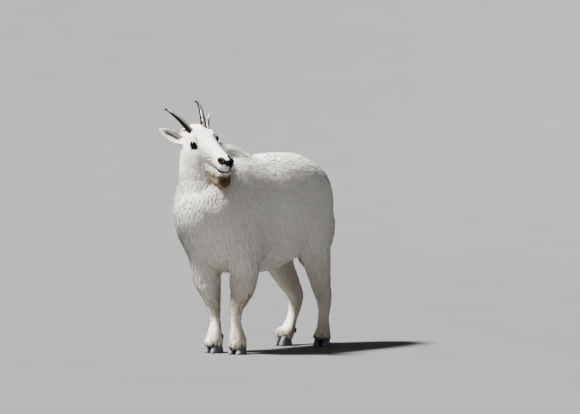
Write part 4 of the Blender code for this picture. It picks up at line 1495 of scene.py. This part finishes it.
def horn_finish():
    finish = Finish("horn", Specular_IOR_Level=0.5)
    along = finish.attribute("horn_along")
    around = finish.node("ShaderNodeCombineXYZ", None, {
        0: finish.attribute("horn_front"), 1: finish.attribute("horn_side"), 2: along * 0.9})
    score = finish.noise(6.5, 5.0, 0.65, around)
    cloud = finish.noise(70.0, 3.0)
    # a pale streak along the horn's front: rub wear and painted highlight together
    front = finish.step(0.88, 0.99, finish.attribute("horn_front"))
    streak_length = finish.step(0.05, 0.2, along) * (1 - finish.step(0.6, 0.9, along))
    wear_and_highlight = front * finish.step(0.36, 0.56, score) * streak_length
    colour = finish.mix(cloud, (0.005, 0.0045, 0.0045), (0.018, 0.015, 0.014))
    colour = finish.mix((1 - finish.step(0.06, 0.24, along)) * 0.5, colour, (0.060, 0.045, 0.034))
    colour = finish.mix(wear_and_highlight * 0.7, colour, (0.40, 0.35, 0.30))
    finish.feed("Base Color", colour)
    finish.feed("Roughness", 0.17 + score * 0.22)
    finish.bump(score + cloud * 0.4, 0.0007, 0.7)
    return finish.material


horn_look = horn_finish()
for side_name in SIDES:
    obj = horn(side_name)
    obj.data.materials.append(horn_look)
    obj.data.shade_smooth()
    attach(obj, "root")
    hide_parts(f"horn_{side_name}")
    print(obj.name, triangles_in(obj.data), "triangles")

# %% [markdown]
# ## Hooves and dewclaws
# Each foot stands on two toes with a narrow cleft between them: a hard wall that slopes down to the heel,
# ringed by slow growth and scuffed pale where it meets the ground. The two dewclaws above the heel are
# small blunt cones. Levels of one rounded outline, narrowing upwards, make a hoof; a table gives where
# each hoof stands, and each dewclaw fills its solid's box.

# %% Hooves and dewclaws
# Share of the height, share of the full outline
HOOF_LEVELS = [(0.0, 0.945), (0.03, 0.972), (0.09, 0.995), (0.16, 1.0),
               (0.72, 0.88), (0.88, 0.80), (0.96, 0.68), (1.0, 0.52)]
CLAW_HALF_WIDTH = 0.0158
CLAW_HALF_LENGTH = 0.0385
CLAW_HEIGHT_TOE = 0.046
CLAW_HEIGHT_HEEL = 0.034
CLAW_SET_BACK = 0.011
HEEL_SLOPE = 0.38
CLEFT_HALF = 0.0016
TOE_SPREAD = 7.0
TOE_OUT = {"fore": 6.0, "hind": 13.0}
CORONET = {
    ("fore", "left"): (0.066, -0.268),
    ("fore", "right"): (0.068, -0.256),
    ("hind", "left"): (0.085, 0.360),
    ("hind", "right"): (0.080, 0.288),
}
MIDDLE = (-0.016, 0.026)


def foot_matrix(pair, side_name):
    """From a foot's own frame, toes to -Y, to the ground under its coronet."""
    x, y = CORONET[pair, side_name]
    sign = SIDES[side_name]
    turn = Matrix.Rotation(math.radians(sign * TOE_OUT[pair]), 4, "Z")
    return Matrix.Translation((MIDDLE[0] + sign * x, MIDDLE[1] + y, 0.0)) @ turn


def hoof(pair, side_name, place_name):
    steps, count = 34, 48
    way = SIDES[side_name] * (1 if place_name == "outer" else -1)
    made = bmesh.new()
    grid = []
    for level in np.linspace(0, 1, steps) ** 1.5:
        shrink = np.interp(level, *zip(*HOOF_LEVELS))
        ripple = 1 + 0.006 * math.sin(level * 34.0) * smooth_share(0.1, 0.3, level)
        ring = []
        for k in range(count):
            a = 2 * math.pi * k / count
            c, s = (math.copysign(abs(v) ** (2 / 2.7), v) for v in (math.cos(a), math.sin(a)))
            x = CLEFT_HALF + CLAW_HALF_WIDTH + CLAW_HALF_WIDTH * shrink * ripple * c
            y = CLAW_HALF_LENGTH * shrink * ripple * s * (1 - HEEL_SLOPE * level * (s > 0))
            y += CLAW_SET_BACK * level ** 1.3
            tall = CLAW_HEIGHT_HEEL + (CLAW_HEIGHT_TOE - CLAW_HEIGHT_HEEL) * (0.5 - 0.5 * s)
            ring.append(made.verts.new((x, y, level * tall)))
        grid.append(ring)
    for a, b in zip(grid, grid[1:]):
        for k in range(count):
            made.faces.new((a[k], a[(k + 1) % count], b[(k + 1) % count], b[k]))
    made.faces.new(list(reversed(grid[0])))
    made.faces.new(grid[-1])
    spread = Matrix.Rotation(math.radians(TOE_SPREAD / 2), 4, "Z")
    placed(made, foot_matrix(pair, side_name) @ Matrix.Diagonal((way, 1.0, 1.0, 1.0)) @ spread)
    bmesh.ops.recalc_face_normals(made, faces=made.faces)
    return to_object(f"hoof_wall_{pair}_{side_name}_{place_name}", [made])


def dewclaw(pair, side_name, place_name):
    """A blunt cone that fills the solid's own box, bowed down and back."""
    low, high = (Vector(v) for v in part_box(f"dewclaw_{pair}_{side_name}_{place_name}"))
    half = (high - low) / 2
    form = ball((0, 0, 0), (1, 1, 1), segments=24)
    for v in form.verts:
        v.co.x *= 0.82 + 0.18 * v.co.z
        v.co.y = v.co.y * (0.80 + 0.15 * v.co.z) - 0.16 * v.co.z
        v.co *= 1 + 0.02 * math.sin(v.co.z * 14.0)
    form.transform(Matrix.Translation((low + high) / 2) @ Matrix.Diagonal((*half, 1.0)))
    return to_object(f"dewclaw_horn_{pair}_{side_name}_{place_name}", [form])


def hoof_finish():
    finish = Finish("hoof", Specular_IOR_Level=0.35)
    height = finish.node("ShaderNodeSeparateXYZ", None, {0: finish.place()}, output=2)
    grain = finish.noise(90.0, 4.0, 0.6, finish.place((1.0, 1.0, 0.25)))
    rings = finish.noise(1.0, 2.0, 0.5, finish.place((14.0, 14.0, 420.0)))
    scuff = finish.step(0.45, 0.7, grain) * (1 - finish.step(0.004, 0.020, height))
    colour = finish.mix(grain, (0.085, 0.090, 0.103), (0.22, 0.228, 0.25))
    colour = finish.mix(rings * 0.35, colour, (0.20, 0.18, 0.16))
    colour = finish.mix(scuff * 0.7, colour, (0.42, 0.38, 0.33))
    finish.feed("Base Color", colour)
    finish.feed("Roughness", 0.48 + grain * 0.25)
    finish.bump(grain + rings * 0.6, 0.0008, 0.7)
    return finish.material


hoof_look = hoof_finish()
feet = [(pair, side_name, place_name) for pair, side_name in CORONET for place_name in ("outer", "inner")]
for foot in feet:
    for maker, node in ((hoof, "hoof"), (dewclaw, "dewclaw")):
        obj = maker(*foot)
        obj.data.materials.append(hoof_look)
        obj.data.shade_smooth()
        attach(obj, "root")
        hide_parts("_".join((node, *foot)))
print("hooves and dewclaws", 2 * len(feet), "pieces")

# %% [markdown]
# ## The floor's finish and the end
# The floor is a matt pale surface with the faintest mottling, so that the white coat stands clear of it.
# On the side where the key stands the slope is turned away from it a little, so there the finish is paler.
# The last cell also removes the shapes of the locks, which are no longer needed.

# %% Floor finish and the end
KEY_SIDE = (-0.537, -0.844, 0.0)


def floor_finish():
    finish = Finish("floor", Roughness=0.9, Specular_IOR_Level=0.2)
    cloud = finish.noise(1.2, 3.0)
    height = finish.node("ShaderNodeSeparateXYZ", None, {0: finish.place()}, output=2)
    toward_key = vector_maths(finish, "DOT_PRODUCT", finish.place(), KEY_SIDE)
    paler = finish.step(0.0, 3.0, height) * finish.step(-10.0, 25.0, toward_key)
    colour = finish.mix(cloud, (0.17, 0.172, 0.175), (0.19, 0.193, 0.197))
    finish.feed("Base Color", finish.mix(paler, colour, (0.30, 0.304, 0.31)))
    return finish.material


floor.data.materials.append(floor_finish())
for shape in list(lock_shapes.objects):
    bpy.data.objects.remove(shape)
bpy.data.collections.remove(lock_shapes)
